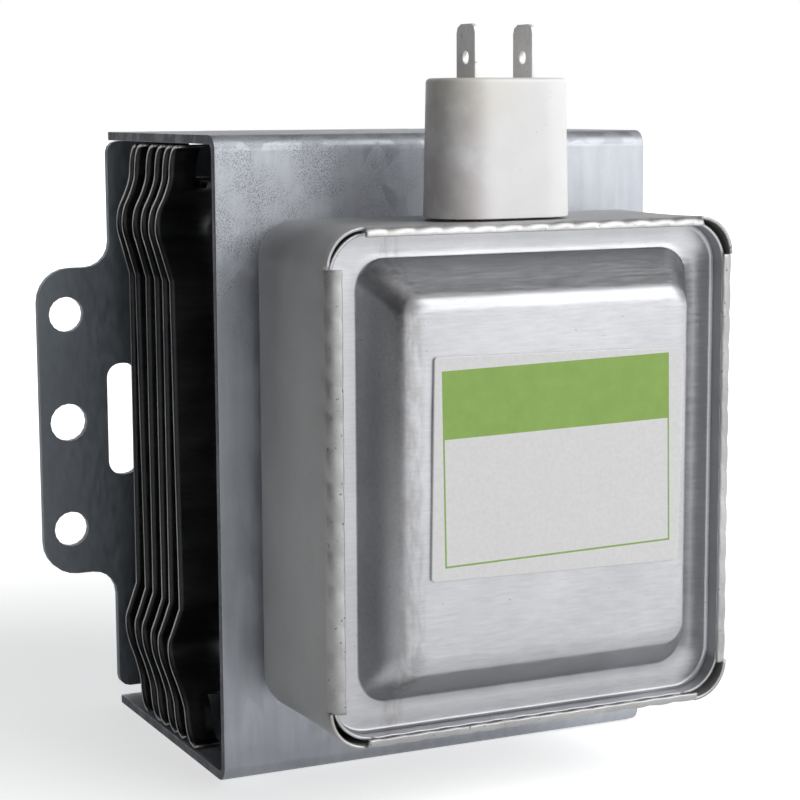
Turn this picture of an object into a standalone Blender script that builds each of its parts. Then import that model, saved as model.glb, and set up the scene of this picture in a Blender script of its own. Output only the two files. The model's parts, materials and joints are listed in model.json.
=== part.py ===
"""Microwave oven magnetron: a six-fin tube in a folded steel yoke, with its filter box and antenna.

Frame: metres, +Z up, origin under the middle of the whole object. The tube's axis runs along Y:
the filter box looks towards -Y and the antenna points to +Y. The yoke stands on its lower wall.
Lengths along the tube are measured from the yoke's front face, positive towards the antenna.
"""
import math

import bmesh
import bpy
from mathutils import Matrix, Vector

mm = 0.001

# Clearances
seat_gap = 0.3 * mm              # between pieces that touch
slide_gap = 0.3 * mm             # round a piece that passes through a hole

# Yoke frame, a folded U of galvanised sheet
yoke_width = 77.4 * mm
yoke_height = 103.0 * mm
yoke_sheet = 1.45 * mm
yoke_bend_radius = 2.6 * mm      # outer
leg_length = 52.4 * mm           # front face to leg ends
stem_opening_radius = 11.0 * mm
tenon_width = 7.0 * mm
tenon_spacing = 24.0 * mm
tenon_head = 0.5 * mm            # stands proud of the mounting plate

# Mounting plate
plate_sheet = 1.5 * mm
plate_body_width = 77.6 * mm
plate_top_relief = 1.6 * mm      # lower than the yoke's upper face beside the lug
plate_bottom_relief = 2.9 * mm
plate_lug_width = 40.8 * mm      # middle part that covers the leg ends
plate_corner_radius = 2.0 * mm
lug_slit_width = 3.0 * mm        # the plate's edge dips beside its upper lug
lug_slit_depth = 0.8 * mm
ear_span = 104.2 * mm
ear_height = 54.7 * mm
ear_hole_inset = 5.1 * mm        # from the ear's side edge
ear_hole_pitch = 19.2 * mm
ear_hole_radius = 3.12 * mm
ear_middle_hole_radius = 3.35 * mm
plate_rise = 0.5 * mm            # ears sit this far above the yoke's middle
slot_inset = 10.05 * mm          # from the line of holes to the middle of the tall slot
slot_width = 5.7 * mm
slot_height = 20.1 * mm
slot_radius = 2.5 * mm
antenna_opening_radius = 10.2 * mm
ear_reach = (ear_span - plate_body_width) / 2
ear_radius = min(6.0 * mm, 0.5 * ear_reach)
ear_fillet = min(4.5 * mm, 0.4 * ear_reach)
ear_hole_span = ear_span - 2 * ear_hole_inset
slot_span = ear_hole_span - 2 * slot_inset

# Cooling fins
fin_count = 6
fin_sheet = 0.6 * mm
fin_rise = yoke_height / 2 - yoke_sheet - seat_gap - fin_sheet / 2   # foot above the fin's middle
fin_side_inset = 0.2 * mm        # behind the yoke's side edges
fin_foot_width = 4.5 * mm
fin_middle_drop = 5.65 * mm      # flat middle's edge below the foot
fin_wave_drop = 7.05 * mm        # outer end of the wave below the foot
fin_wave_height = 6.35 * mm
fin_wave = [(0.0, 0.0), (0.38, 0.79), (0.46, 0.945), (0.55, 1.0), (0.64, 0.945), (0.72, 0.79), (1.0, 0.0)]
fin_edge_recess = 0.9 * mm       # the flat middle's edge leans back
fin_shin_height = 3.6 * mm       # below the foot
fin_shin_recess = 1.5 * mm
fin_ankle_height = 0.9 * mm
fin_heel = 2.6 * mm
fin_bend_outer = 29.5 * mm       # half width where the side wings start
fin_bend_inner = 26.0 * mm       # half width of the flat middle
fin_collar_sheet = 0.5 * mm
fin_collar_height = 1.3 * mm
fin_rear_margin = 2.0 * mm       # rear fin to the anode's rear end
fin_front_margin = 1.15 * mm
fin_wing_offsets = [5.85 * mm, 6.0 * mm, 5.5 * mm, 5.0 * mm, 5.4 * mm, 5.4 * mm]
fin_leans = [0.0, 0.030, 0.002, 0.006, 0.004, 0.028]
fin_foot_overhangs = [0.2 * mm, 1.4 * mm, 1.0 * mm, 0.8 * mm, 0.8 * mm, 1.4 * mm]

# Magnets and vacuum tube
magnet_radius = 27.0 * mm
magnet_bore = 10.0 * mm
magnet_thickness = 11.0 * mm
anode_radius = 19.4 * mm
anode_wall = 2.4 * mm
pole_sheet = 1.5 * mm
pole_vane_gap = 3.125 * mm       # from the dish's flat middle to the vanes
pole_flat_radius = 9.2 * mm
pole_slope_radius = 13.0 * mm
pole_bore = 4.7 * mm
vane_count = 10
vane_length = 9.5 * mm
vane_thickness = 1.9 * mm
vane_tip_radius = 4.6 * mm
strap_height = 1.2 * mm
strap_width = 1.0 * mm
inner_strap_radius = 7.0 * mm    # middle of the ring
outer_strap_radius = 9.6 * mm
filament_radius = 1.95 * mm      # middle of the wire
filament_wire = 0.28 * mm        # radius
filament_turns = 7
filament_turn_points = 6
end_shield_radius = 3.7 * mm
end_shield_thickness = 0.8 * mm
lead_radius = 0.7 * mm
side_lead_offset = 2.9 * mm
seal_radius = 8.7 * mm
seal_sheet = 0.5 * mm
stem_seal_reach = 2.4 * mm       # in front of the yoke's front face
stem_ceramic_length = 9.5 * mm
stem_ceramic_radius = 7.6 * mm
stem_terminal_thickness = 0.6 * mm
stem_terminal_width = 6.0 * mm
stem_terminal_height = 2.2 * mm
stem_terminal_spread = 0.8 * mm  # further apart than the leads
output_seal_reach = 3.4 * mm     # behind the mounting plate
antenna_ceramic_length = 11.5 * mm
antenna_ceramic_radius = 7.2 * mm
antenna_ceramic_bore = 4.2 * mm
antenna_cap_length = 13.0 * mm
antenna_cap_radius = 7.6 * mm
antenna_cap_sheet = 0.5 * mm
antenna_cap_edge = 1.4 * mm      # radius
exhaust_flange_thickness = 0.6 * mm
exhaust_tube_radius = 2.9 * mm
exhaust_tube_bore = 1.9 * mm
exhaust_tube_length = 7.5 * mm
antenna_lead_radius = 1.2 * mm
antenna_lead_offset = 7.0 * mm
gasket_inner_radius = 9.3 * mm
gasket_width = 4.2 * mm
gasket_thickness = 2.6 * mm

# Filter box and lid
box_width = 69.6 * mm
box_height = 77.4 * mm
box_depth = 31.0 * mm            # back face to the crimped rim
box_sheet = 0.5 * mm
box_corner_radius = 6.0 * mm
box_back_radius = 5.4 * mm
box_rise = -0.1 * mm             # middle of the box above the tube's axis
box_shift = 1.3 * mm             # towards +X
box_stem_hole_radius = 15.0 * mm
crimp_side_fold = 2.0 * mm       # the rim rolls this far in and back, on the upright sides
crimp_end_fold = 1.3 * mm        # and on the upper and lower sides
crimp_side_pitch = 5.0 * mm
crimp_end_pitch = 4.35 * mm
crimp_wave_height = 0.2 * mm     # of the rolled edge, forwards
crimp_bulge = 0.15 * mm          # and outwards
crimp_points = 2                 # for each wave
corner_edge_drop = 0.9 * mm      # the can's plain edge at a corner, behind the crimped front
lid_sheet = 0.5 * mm
lid_tuck = 0.4 * mm              # the lid's rim reaches this far into the fold
lid_rim_height = 2.9 * mm
lid_bend = 0.6 * mm
lid_corner_radius = 7.0 * mm
panel_foot_inset = Vector((6.6, 5.75)) * mm   # box side to the foot of the raised panel
panel_edge_inset = Vector((10.1, 10.2)) * mm  # box side to the panel's edge
panel_rise = 0.35 * mm           # middle of the panel above the box's middle
lid_panel_height = 8.0 * mm
panel_foot_radius = 4.4 * mm
panel_edge_radius = 3.6 * mm
lid_shoulder = 1.4 * mm
label_width = 42.6 * mm
label_height = 33.2 * mm
label_sheet = 0.15 * mm
label_shift = 2.8 * mm
label_rise = 2.8 * mm
label_turn = math.radians(1.0)

# Feed-through capacitor and chokes
housing_length = 23.4 * mm
housing_width = 14.6 * mm
housing_height = 21.0 * mm
housing_taper = 0.5 * mm
housing_station = -19.2 * mm     # along the tube
flange_length = 33.0 * mm
flange_width = 13.4 * mm
flange_thickness = 0.8 * mm
block_length = 18.6 * mm
block_width = 10.0 * mm
block_height = 7.5 * mm
tab_spacing = 9.8 * mm
tab_width = 6.0 * mm
tab_thickness = 0.7 * mm
tab_length = 8.1 * mm
tab_hole_radius = 1.0 * mm
tab_hole_drop = 5.0 * mm         # hole's middle below the tab's tip
tab_clip = 1.2 * mm
rod_radius = 1.3 * mm
rod_tail = 3.0 * mm              # below the ceramic block
choke_spacing = 19.0 * mm
choke_core_radius = 2.4 * mm
choke_core_length = 15.0 * mm
choke_wire = 0.6 * mm            # radius
choke_turns = 6
choke_turn_points = 8
choke_station = -18.0 * mm
choke_rise = 4.0 * mm            # lowest turn above the tube's axis
choke_turn_gap = 1.0 * mm
box_rivet_inset = Vector((11.8, 11.7)) * mm   # from the box's sides
box_rivet_radius = 1.6 * mm
box_rivet_head_radius = 3.0 * mm
box_rivet_head_height = 0.9 * mm

# Stations along the tube, from the yoke's front face
magnet_front = yoke_sheet + seat_gap
input_pole_station = magnet_front + magnet_thickness + seat_gap
output_magnet_front = leg_length - seat_gap - magnet_thickness
output_pole_station = output_magnet_front - seat_gap
anode_front = input_pole_station + pole_sheet + seat_gap
anode_rear = output_pole_station - pole_sheet - seat_gap
pole_dish_depth = (output_pole_station - input_pole_station - vane_length) / 2 - pole_vane_gap
fin_first_station = anode_rear - fin_rear_margin
fin_station_pitch = (fin_first_station - anode_front - fin_front_margin) / (fin_count - 1)
tube_middle = (anode_front + anode_rear) / 2
plate_rear = leg_length + seat_gap + plate_sheet
seal_end = plate_rear + output_seal_reach
ceramic_end = seal_end + seat_gap + antenna_ceramic_length
cap_end = ceramic_end + seat_gap + antenna_cap_length
box_back = -seat_gap
box_front = box_back - box_depth
lid_rim_front = box_front + crimp_side_fold - lid_tuck
lid_flange_station = lid_rim_front + lid_rim_height
lid_panel_station = lid_flange_station - lid_panel_height
label_front = lid_panel_station - seat_gap - label_sheet

# The origin is under the middle of the whole object
yoke_front = -(label_front + cap_end) / 2
axis_z = yoke_height / 2
box_z = axis_z + box_rise
plate_z = axis_z + plate_rise
box_top = box_z + box_height / 2

parts = bpy.data.collections.new("magnetron")
cutters = bpy.data.collections.new("cutters")


def material(name, colour, roughness, metallic):
    """A plain Principled material."""
    made = bpy.data.materials.new(name)
    made.use_nodes = True
    shader = made.node_tree.nodes["Principled BSDF"]
    shader.inputs["Base Color"].default_value = (*colour, 1.0)
    shader.inputs["Roughness"].default_value = roughness
    shader.inputs["Metallic"].default_value = metallic
    return made


def place(obj, where=parts, finish=None):
    """Puts an object in its collection and gives it its material."""
    where.objects.link(obj)
    if finish:
        obj.data.materials.append(finish)
    return obj


def from_bmesh(name, bm, finish=None, where=parts):
    mesh = bpy.data.meshes.new(name)
    bm.to_mesh(mesh)
    bm.free()
    return place(bpy.data.objects.new(name, mesh), where, finish)


def smooth(obj, degrees=35):
    obj.data.shade_smooth()
    obj.data.set_sharp_from_angle(angle=math.radians(degrees))
    return obj


def to_mesh(obj):
    """Makes a curve or a modified object a plain mesh with welded caps, in the same place."""
    bpy.context.view_layer.update()
    graph = bpy.context.evaluated_depsgraph_get()
    mesh = bpy.data.meshes.new_from_object(obj.evaluated_get(graph))
    bm = bmesh.new()
    bm.from_mesh(mesh)
    bmesh.ops.remove_doubles(bm, verts=bm.verts, dist=1e-6)
    bm.to_mesh(mesh)
    bm.free()
    made = bpy.data.objects.new(obj.name, mesh)
    made.matrix_world = obj.matrix_world
    name = obj.name
    obj.users_collection[0].objects.link(made)
    bpy.data.objects.remove(obj)
    made.name = name
    return made


def cut(obj, cutter, operation="DIFFERENCE"):
    boolean = obj.modifiers.new("cut", "BOOLEAN")
    boolean.operation = operation
    boolean.solver = "EXACT"
    boolean.object = cutter
    return obj


def box(name, size, centre, finish=None, where=parts):
    """A box of a size, about a centre given as (x, station along the tube, z)."""
    bm = bmesh.new()
    bmesh.ops.create_cube(bm, size=1.0, matrix=Matrix.Diagonal((*size, 1.0)))
    obj = from_bmesh(name, bm, finish, where)
    x, station, z = centre
    obj.location = (x, yoke_front + station, z)
    return obj


def hidden(cutter):
    cutter.hide_render = True
    cutter.display_type = "WIRE"
    return cutter


def box_cutter(name, size, centre):
    return hidden(box(name, size, centre, where=cutters))


def rod(name, radius, start, end, finish=None, where=parts, segments=20, along="Y"):
    """A cylinder from one station to another; start and end are (x, station, z)."""
    a = Vector((start[0], yoke_front + start[1], start[2]))
    b = Vector((end[0], yoke_front + end[1], end[2]))
    bm = bmesh.new()
    bmesh.ops.create_cone(bm, cap_ends=True, segments=segments, radius1=radius, radius2=radius,
                          depth=(b - a).length)
    obj = from_bmesh(name, bm, finish, where)
    obj.location = (a + b) / 2
    if along == "Y":
        obj.rotation_euler = (-math.pi / 2, 0, 0)
    return smooth(obj)


def rod_cutter(name, radius, start, end, segments=24, along="Y"):
    return hidden(rod(name, radius, start, end, None, cutters, segments, along))


def turned(name, profile, finish, segments=40, closed=True):
    """A turned piece about the tube's axis; the profile's points are (radius, station)."""
    bm = bmesh.new()
    points = [bm.verts.new((radius, 0, station)) for radius, station in profile]
    for first, second in zip(points, points[1:]):
        bm.edges.new((first, second))
    if closed:
        bm.edges.new((points[-1], points[0]))
    obj = from_bmesh(name, bm, finish)
    obj.location = (0, yoke_front, axis_z)
    obj.rotation_euler = (-math.pi / 2, 0, 0)
    screw = obj.modifiers.new("turn", "SCREW")
    screw.angle = math.tau
    screw.steps = segments
    screw.render_steps = segments
    screw.use_merge_vertices = True
    screw.merge_threshold = 1e-5
    screw.use_smooth_shade = True
    return obj


def ring(name, inner, outer, start, end, finish, segments=40):
    """A plain turned ring; its outer side runs from the far end to the near end."""
    return turned(name, [(inner, end), (outer, end), (outer, start), (inner, start)], finish, segments)


def tube(name, points, radius, finish):
    """A round wire through points given as (x, station, z)."""
    curve = bpy.data.curves.new(name, "CURVE")
    curve.dimensions = "3D"
    curve.bevel_depth = radius
    curve.bevel_resolution = 2
    curve.use_fill_caps = True
    spline = curve.splines.new("POLY")
    spline.points.add(len(points) - 1)
    for target, (x, station, z) in zip(spline.points, points):
        target.co = (x, yoke_front + station, z, 1)
    return place(bpy.data.objects.new(name, curve), parts, finish)


def arc(cx, cy, radius, start, end, steps):
    """Points of an arc, angles in degrees."""
    return [(cx + radius * math.cos(math.radians(start + (end - start) * i / steps)),
             cy + radius * math.sin(math.radians(start + (end - start) * i / steps)))
            for i in range(steps + 1)]


def rounded_outline(half_x, half_y, radius, steps=6, cx=0.0, cy=0.0):
    """A rectangle with round corners, anticlockwise from its right lower corner."""
    corners = ((1, -1, -90), (1, 1, 0), (-1, 1, 90), (-1, -1, 180))
    points = []
    for sx, sy, start in corners:
        points += arc(cx + sx * (half_x - radius), cy + sy * (half_y - radius), radius,
                      start, start + 90, steps)
    return points


def circle(cx, cy, radius, steps=16):
    return arc(cx, cy, radius, 0, 360, steps)[:-1]


def flat(name, outlines, thickness, station, finish, z=0.0, upright=True):
    """A flat piece cut to outlines; it stands across the tube's axis, or lies level at height z."""
    curve = bpy.data.curves.new(name, "CURVE")
    curve.dimensions = "2D"
    curve.fill_mode = "BOTH"
    curve.extrude = thickness / 2
    for outline in outlines:
        spline = curve.splines.new("POLY")
        spline.points.add(len(outline) - 1)
        for target, (x, y) in zip(spline.points, outline):
            target.co = (x, y, 0, 1)
        spline.use_cyclic_u = True
    obj = place(bpy.data.objects.new(name, curve), parts, finish)
    obj.location = (0, yoke_front + station, z)
    if upright:
        obj.rotation_euler = (math.pi / 2, 0, 0)
    return obj


def lofted(name, loops, finish, cap_first=True, cap_last=True):
    """Skins a row of loops of (x, y, z) points, all with the same number of points."""
    bm = bmesh.new()
    rows = [[bm.verts.new(point) for point in loop] for loop in loops]
    for lower, upper in zip(rows, rows[1:]):
        for i, vert in enumerate(lower):
            j = (i + 1) % len(lower)
            bm.faces.new((vert, lower[j], upper[j], upper[i]))
    if cap_first:
        bm.faces.new(reversed(rows[0]))
    if cap_last:
        bm.faces.new(rows[-1])
    bmesh.ops.recalc_face_normals(bm, faces=bm.faces)
    return smooth(from_bmesh(name, bm, finish))


def thicken(obj, thickness, offset):
    solid = obj.modifiers.new("sheet", "SOLIDIFY")
    solid.thickness = thickness
    solid.offset = offset
    solid.use_even_offset = True
    return obj


def yoke_frame(finish):
    """The folded U: upper wall, front wall and lower wall in one strip, with staking tenons."""
    inset = yoke_bend_radius
    reach = leg_length + seat_gap + plate_sheet + tenon_head
    path = [(reach, yoke_height)]
    path += arc(inset, yoke_height - inset, inset, 90, 180, 5)
    path += arc(inset, inset, inset, 180, 270, 5)
    path += [(reach, 0.0)]
    bm = bmesh.new()
    rows = [[bm.verts.new((side * yoke_width / 2, station, z)) for station, z in path]
            for side in (-1, 1)]
    for i in range(len(path) - 1):
        bm.faces.new((rows[0][i], rows[0][i + 1], rows[1][i + 1], rows[1][i]))
    frame = from_bmesh("yoke_frame", bm, finish)
    frame.location = (0, yoke_front, 0)
    thicken(frame, yoke_sheet, -1)
    far = yoke_width
    beyond = reach - leg_length
    for level in (0.0, yoke_height):
        spans = [(-far, -tenon_spacing / 2 - tenon_width / 2),
                 (-tenon_spacing / 2 + tenon_width / 2, tenon_spacing / 2 - tenon_width / 2),
                 (tenon_spacing / 2 + tenon_width / 2, far)]
        for left, right in spans:
            size = (right - left, 2 * beyond, 6 * yoke_sheet)
            centre = ((left + right) / 2, leg_length + beyond, level)
            cut(frame, box_cutter("leg_end_cutter", size, centre))
    cut(frame, rod_cutter("stem_opening_cutter", stem_opening_radius, (0, -5 * mm, axis_z),
                          (0, 5 * mm, axis_z), segments=32))
    for x, z in box_rivet_places():
        cut(frame, rod_cutter("box_rivet_cutter", box_rivet_radius + slide_gap, (x, -5 * mm, z),
                              (x, 5 * mm, z), segments=16))
    return frame


def box_rivet_places():
    x = box_width / 2 - box_rivet_inset.x
    z = box_height / 2 - box_rivet_inset.y
    return [(box_shift + sx * x, box_z + sz * z) for sx in (-1, 1) for sz in (-1, 1)]


def plate_outline():
    """Half of the plate's outline on +X, from the top lug down to the bottom lug, then mirrored."""
    body = plate_body_width / 2
    ear = ear_span / 2
    lug = plate_lug_width / 2
    top = yoke_height
    ear_top = plate_z + ear_height / 2
    corner_top = yoke_height - plate_top_relief
    slit_floor = corner_top - lug_slit_depth
    notch_in = tenon_spacing / 2 - tenon_width / 2 - slide_gap
    notch_out = tenon_spacing / 2 + tenon_width / 2 + slide_gap
    notch_floor = yoke_height - yoke_sheet - slide_gap
    upper = [(notch_in, top), (notch_in, notch_floor), (notch_out, notch_floor), (notch_out, top),
             (lug, top), (lug, slit_floor), (lug + lug_slit_width, slit_floor),
             (lug + lug_slit_width + lug_slit_depth, corner_top)]
    upper += arc(body - plate_corner_radius, corner_top - plate_corner_radius, plate_corner_radius, 90, 0, 3)
    upper += arc(body + ear_fillet, ear_top + ear_fillet, ear_fillet, 180, 270, 5)
    upper += arc(ear - ear_radius, ear_top - ear_radius, ear_radius, 90, 0, 6)
    ear_bottom = plate_z - ear_height / 2
    corner_bottom = plate_bottom_relief
    lower = arc(ear - ear_radius, ear_bottom + ear_radius, ear_radius, 0, -90, 6)
    lower += arc(body + ear_fillet, ear_bottom - ear_fillet, ear_fillet, 90, 180, 5)
    lower += arc(body - plate_corner_radius, corner_bottom + plate_corner_radius, plate_corner_radius,
                 0, -90, 3)
    lower += [(lug, corner_bottom), (lug, 0.0), (notch_out, 0.0),
              (notch_out, yoke_height - notch_floor), (notch_in, yoke_height - notch_floor), (notch_in, 0.0)]
    right = upper + lower
    return right + [(-x, z) for x, z in reversed(right)]


def mounting_plate(finish):
    outlines = [plate_outline(), circle(0, axis_z, antenna_opening_radius, 28)]
    for side in (-1, 1):
        for step in (-1, 0, 1):
            radius = ear_hole_radius if step else ear_middle_hole_radius
            outlines.append(circle(side * ear_hole_span / 2, plate_z + step * ear_hole_pitch, radius))
        outlines.append(rounded_outline(slot_width / 2, slot_height / 2, slot_radius, 5,
                                        side * slot_span / 2, plate_z))
    return flat("mounting_plate", outlines, plate_sheet, leg_length + seat_gap + plate_sheet / 2, finish)


def fin_profile(foot_reach):
    """Upper half of a fin's edge, as (height above the middle, station): flat, wave, curled foot."""
    start = magnet_radius + seat_gap
    reach = fin_rise - fin_wave_drop - start
    points = [(start + reach * along, fin_wave_height * height) for along, height in fin_wave]
    points += [(fin_rise - fin_middle_drop, -fin_edge_recess), (fin_rise - fin_shin_height, -fin_shin_recess),
               (fin_rise - fin_ankle_height, -fin_heel),
               (fin_rise - 0.3 * fin_ankle_height, -(fin_heel + foot_reach) / 2), (fin_rise, -foot_reach)]
    return points


def cooling_fin(number, finish):
    """A pressed sheet: flat middle on the anode, bent side wings, and feet that touch the yoke."""
    index = number - 1
    half = yoke_width / 2 - fin_side_inset
    foot = half - fin_foot_width
    columns = [-half, -foot, -fin_bend_outer, -fin_bend_inner, fin_bend_inner, fin_bend_outer, foot, half]
    upper = fin_profile(fin_station_pitch + fin_foot_overhangs[index])
    rows = [(-h, s) for h, s in reversed(upper)] + upper
    middle = fin_first_station - index * fin_station_pitch
    wing = middle + fin_wing_offsets[index]
    middle_edge = fin_rise - fin_middle_drop
    bm = bmesh.new()
    grid = []
    for x in columns:
        base = wing if abs(x) > fin_bend_inner else middle
        lean = fin_leans[index] if abs(x) > fin_bend_inner else 0.0
        grid.append([bm.verts.new((x, base + station + lean * height, height)) for height, station in rows])
    for c in range(len(columns) - 1):
        is_foot = c in (0, len(columns) - 2)
        for r in range(len(rows) - 1):
            inside = max(abs(rows[r][0]), abs(rows[r + 1][0])) <= middle_edge + 1e-6
            if is_foot or inside:
                bm.faces.new((grid[c][r], grid[c + 1][r], grid[c + 1][r + 1], grid[c][r + 1]))
    loose = [vert for vert in bm.verts if not vert.link_faces]
    bmesh.ops.delete(bm, geom=loose, context="VERTS")
    fin = smooth(from_bmesh(f"cooling_fin_{number}", bm, finish), 50)
    fin.location = (0, yoke_front, axis_z)
    thicken(fin, fin_sheet, 0)
    bore = anode_radius + slide_gap
    cut(fin, rod_cutter("fin_collar", bore + fin_collar_sheet, (0, middle - fin_sheet / 4, axis_z),
                        (0, middle + fin_collar_height, axis_z), segments=24), "UNION")
    cut(fin, rod_cutter("fin_bore_cutter", bore, (0, middle - 3 * mm, axis_z), (0, middle + 3 * mm, axis_z),
                        segments=24))
    return fin


def pole_piece(name, rim_station, direction, finish):
    """A dished disc: its rim closes the anode's end and its flat middle comes close to the vanes."""
    near = rim_station
    flange = rim_station + direction * pole_sheet
    deep = rim_station + direction * pole_dish_depth
    inner = deep - direction * pole_sheet
    profile = [(pole_bore, inner), (pole_flat_radius - 0.4 * pole_sheet, inner),
               (pole_slope_radius, near), (anode_radius, near), (anode_radius, flange),
               (pole_slope_radius + 0.6 * pole_sheet, flange), (pole_flat_radius, deep), (pole_bore, deep)]
    if direction > 0:
        profile.reverse()
    return turned(name, profile, finish, 24)


def anode(finish):
    inner = anode_radius - anode_wall
    return ring("anode_cylinder", inner, anode_radius, anode_front, anode_rear, finish, 36)


def vane(number, finish):
    """A copper blade from the cylinder to the cathode's space, grooved for the strap rings."""
    outer = anode_radius - anode_wall - seat_gap
    length = outer - vane_tip_radius
    bm = bmesh.new()
    bmesh.ops.create_cube(bm, size=1.0, matrix=Matrix.Translation((vane_tip_radius + length / 2, 0, 0))
                          @ Matrix.Diagonal((length, vane_length, vane_thickness, 1.0)))
    blade = from_bmesh(f"anode_vane_{number}", bm, finish)
    blade.location = (0, yoke_front + tube_middle, axis_z)
    blade.rotation_euler = (0, math.tau * (number - 0.5) / vane_count, 0)
    bm = bmesh.new()
    for radius in (inner_strap_radius, outer_strap_radius):
        for end in (-1, 1):
            size = (strap_width + 2 * slide_gap, 2 * (strap_height + slide_gap), 3 * vane_thickness)
            bmesh.ops.create_cube(bm, size=1.0, matrix=Matrix.Translation((radius, end * vane_length / 2, 0))
                                  @ Matrix.Diagonal((*size, 1.0)))
    groove = hidden(from_bmesh(f"vane_groove_cutter_{number}", bm, where=cutters))
    groove.location = blade.location
    groove.rotation_euler = blade.rotation_euler
    return cut(blade, groove)


def strap_rings(finish):
    for end, label in ((-1, "input"), (1, "output")):
        face = tube_middle + end * vane_length / 2
        start, stop = sorted((face, face - end * strap_height))
        for radius, kind in ((inner_strap_radius, "inner"), (outer_strap_radius, "outer")):
            ring(f"{kind}_strap_{label}", radius - strap_width / 2, radius + strap_width / 2, start, stop,
                 finish, 24)


def filament(finish):
    """The thoriated tungsten helix between the end shields."""
    length = vane_length - 0.6 * mm
    count = filament_turns * filament_turn_points
    points = []
    for i in range(count + 1):
        angle = math.tau * i / filament_turn_points
        station = tube_middle - length / 2 + length * i / count
        x = filament_radius * math.cos(angle)
        points.append((x, station, axis_z + filament_radius * math.sin(angle)))
    return tube("filament", points, filament_wire, finish)


def end_shields_and_leads(shield_finish, lead_finish):
    reach = (vane_length - 0.6 * mm) / 2 + filament_wire + seat_gap
    front = tube_middle - reach
    rear = tube_middle + reach
    hub = lead_radius + slide_gap
    ring("end_shield_input", hub, end_shield_radius, front - end_shield_thickness, front, shield_finish, 24)
    back = rear + end_shield_thickness
    turned("end_shield_output", [(0, back), (end_shield_radius, back), (end_shield_radius, rear), (0, rear)],
           shield_finish, 24, closed=False)
    tip = stem_end() + 2 * seat_gap
    rod("centre_lead", lead_radius, (0, tip, axis_z), (0, rear - seat_gap, axis_z), lead_finish, segments=12)
    side_end = front - end_shield_thickness - seat_gap
    rod("side_lead", lead_radius, (0, tip, axis_z - side_lead_offset),
        (0, side_end, axis_z - side_lead_offset), lead_finish, segments=12)


def stem_end():
    return -stem_seal_reach - seat_gap - stem_ceramic_length


def seals_and_ceramics(metal, ceramic):
    """Metal cups brazed to the pole pieces carry the stem ceramic in front and the antenna ceramic behind."""
    inner = seal_radius - seal_sheet
    front = -stem_seal_reach
    near = input_pole_station - seat_gap
    neck = stem_ceramic_radius - 1.2 * mm
    turned("input_seal", [(inner, near), (seal_radius, near), (seal_radius, front), (neck, front),
                          (neck, front + seal_sheet), (inner, front + seal_sheet)], metal, 24)
    stem = turned("stem_ceramic", [(0, front - seat_gap), (stem_ceramic_radius, front - seat_gap),
                                   (stem_ceramic_radius, stem_end()), (0, stem_end())],
                  ceramic, 24, closed=False)
    for z in (axis_z, axis_z - side_lead_offset):
        cut(stem, rod_cutter("lead_hole_cutter", lead_radius + slide_gap, (0, stem_end() - 2 * mm, z),
                             (0, front + 2 * mm, z), segments=12))
    rear = output_pole_station + seat_gap
    neck = antenna_ceramic_radius - 1.6 * mm
    turned("output_seal", [(inner, seal_end - seal_sheet), (neck, seal_end - seal_sheet), (neck, seal_end),
                           (seal_radius, seal_end), (seal_radius, rear), (inner, rear)], metal, 24)
    ring("antenna_ceramic", antenna_ceramic_bore, antenna_ceramic_radius, seal_end + seat_gap, ceramic_end,
         ceramic, 24)


def stem_terminals(finish):
    """Brazed plates at the stem's end, where the choke wires are welded."""
    station = stem_end() - seat_gap - stem_terminal_thickness / 2
    for side, label in ((1, "upper"), (-1, "lower")):
        size = (stem_terminal_width, stem_terminal_thickness, stem_terminal_height)
        z = axis_z - side_lead_offset / 2 + side * (side_lead_offset + stem_terminal_spread) / 2
        box(f"stem_terminal_{label}", size, (0, station, z), finish)


def antenna(cap_finish, copper):
    """The copper lead from a vane, the pinched exhaust tube, and the steel cap over it."""
    base = ceramic_end + seat_gap
    flange = base + exhaust_flange_thickness
    outer = antenna_cap_radius - antenna_cap_sheet - slide_gap
    tip = flange + exhaust_tube_length
    turned("exhaust_tube", [(exhaust_tube_bore, tip), (exhaust_tube_radius, tip),
                            (exhaust_tube_radius, flange), (outer, flange), (outer, base),
                            (exhaust_tube_bore, base)], copper, 24)
    round_middle = (antenna_cap_radius - antenna_cap_edge, cap_end - antenna_cap_edge)
    outline = [(0, cap_end)]
    outline += arc(*round_middle, antenna_cap_edge, 90, 0, 3)
    outline += [(antenna_cap_radius, base), (antenna_cap_radius - antenna_cap_sheet, base)]
    outline += arc(*round_middle, antenna_cap_edge - antenna_cap_sheet, 0, 90, 3)
    outline += [(0, cap_end - antenna_cap_sheet)]
    turned("antenna_cap", outline, cap_finish, 28, closed=False)
    start = tube_middle + vane_length / 2 + seat_gap
    bend = output_pole_station + seal_sheet
    x, z = antenna_lead_place()
    halfway = (x / 2, bend + 0.5 * antenna_lead_offset, (z + axis_z) / 2)
    points = [(x, start, z), (x, bend, z), halfway, (0, bend + antenna_lead_offset, axis_z),
              (0, base + exhaust_tube_length / 2, axis_z)]
    tube("antenna_lead", points, antenna_lead_radius, copper)


def antenna_lead_place():
    """Where the lead leaves its vane and passes the output pole piece."""
    angle = math.tau * 0.5 / vane_count
    return antenna_lead_offset * math.cos(angle), axis_z - antenna_lead_offset * math.sin(angle)


def gasket(finish):
    """The knitted wire ring that seals the antenna against the waveguide."""
    middle = gasket_inner_radius + gasket_width / 2
    station = plate_rear + seat_gap + gasket_thickness / 2
    profile = [(middle + gasket_width / 2 * math.cos(math.tau * i / 8),
                station - gasket_thickness / 2 * math.sin(math.tau * i / 8)) for i in range(8)]
    return turned("rf_gasket", profile, finish, 24)


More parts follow.
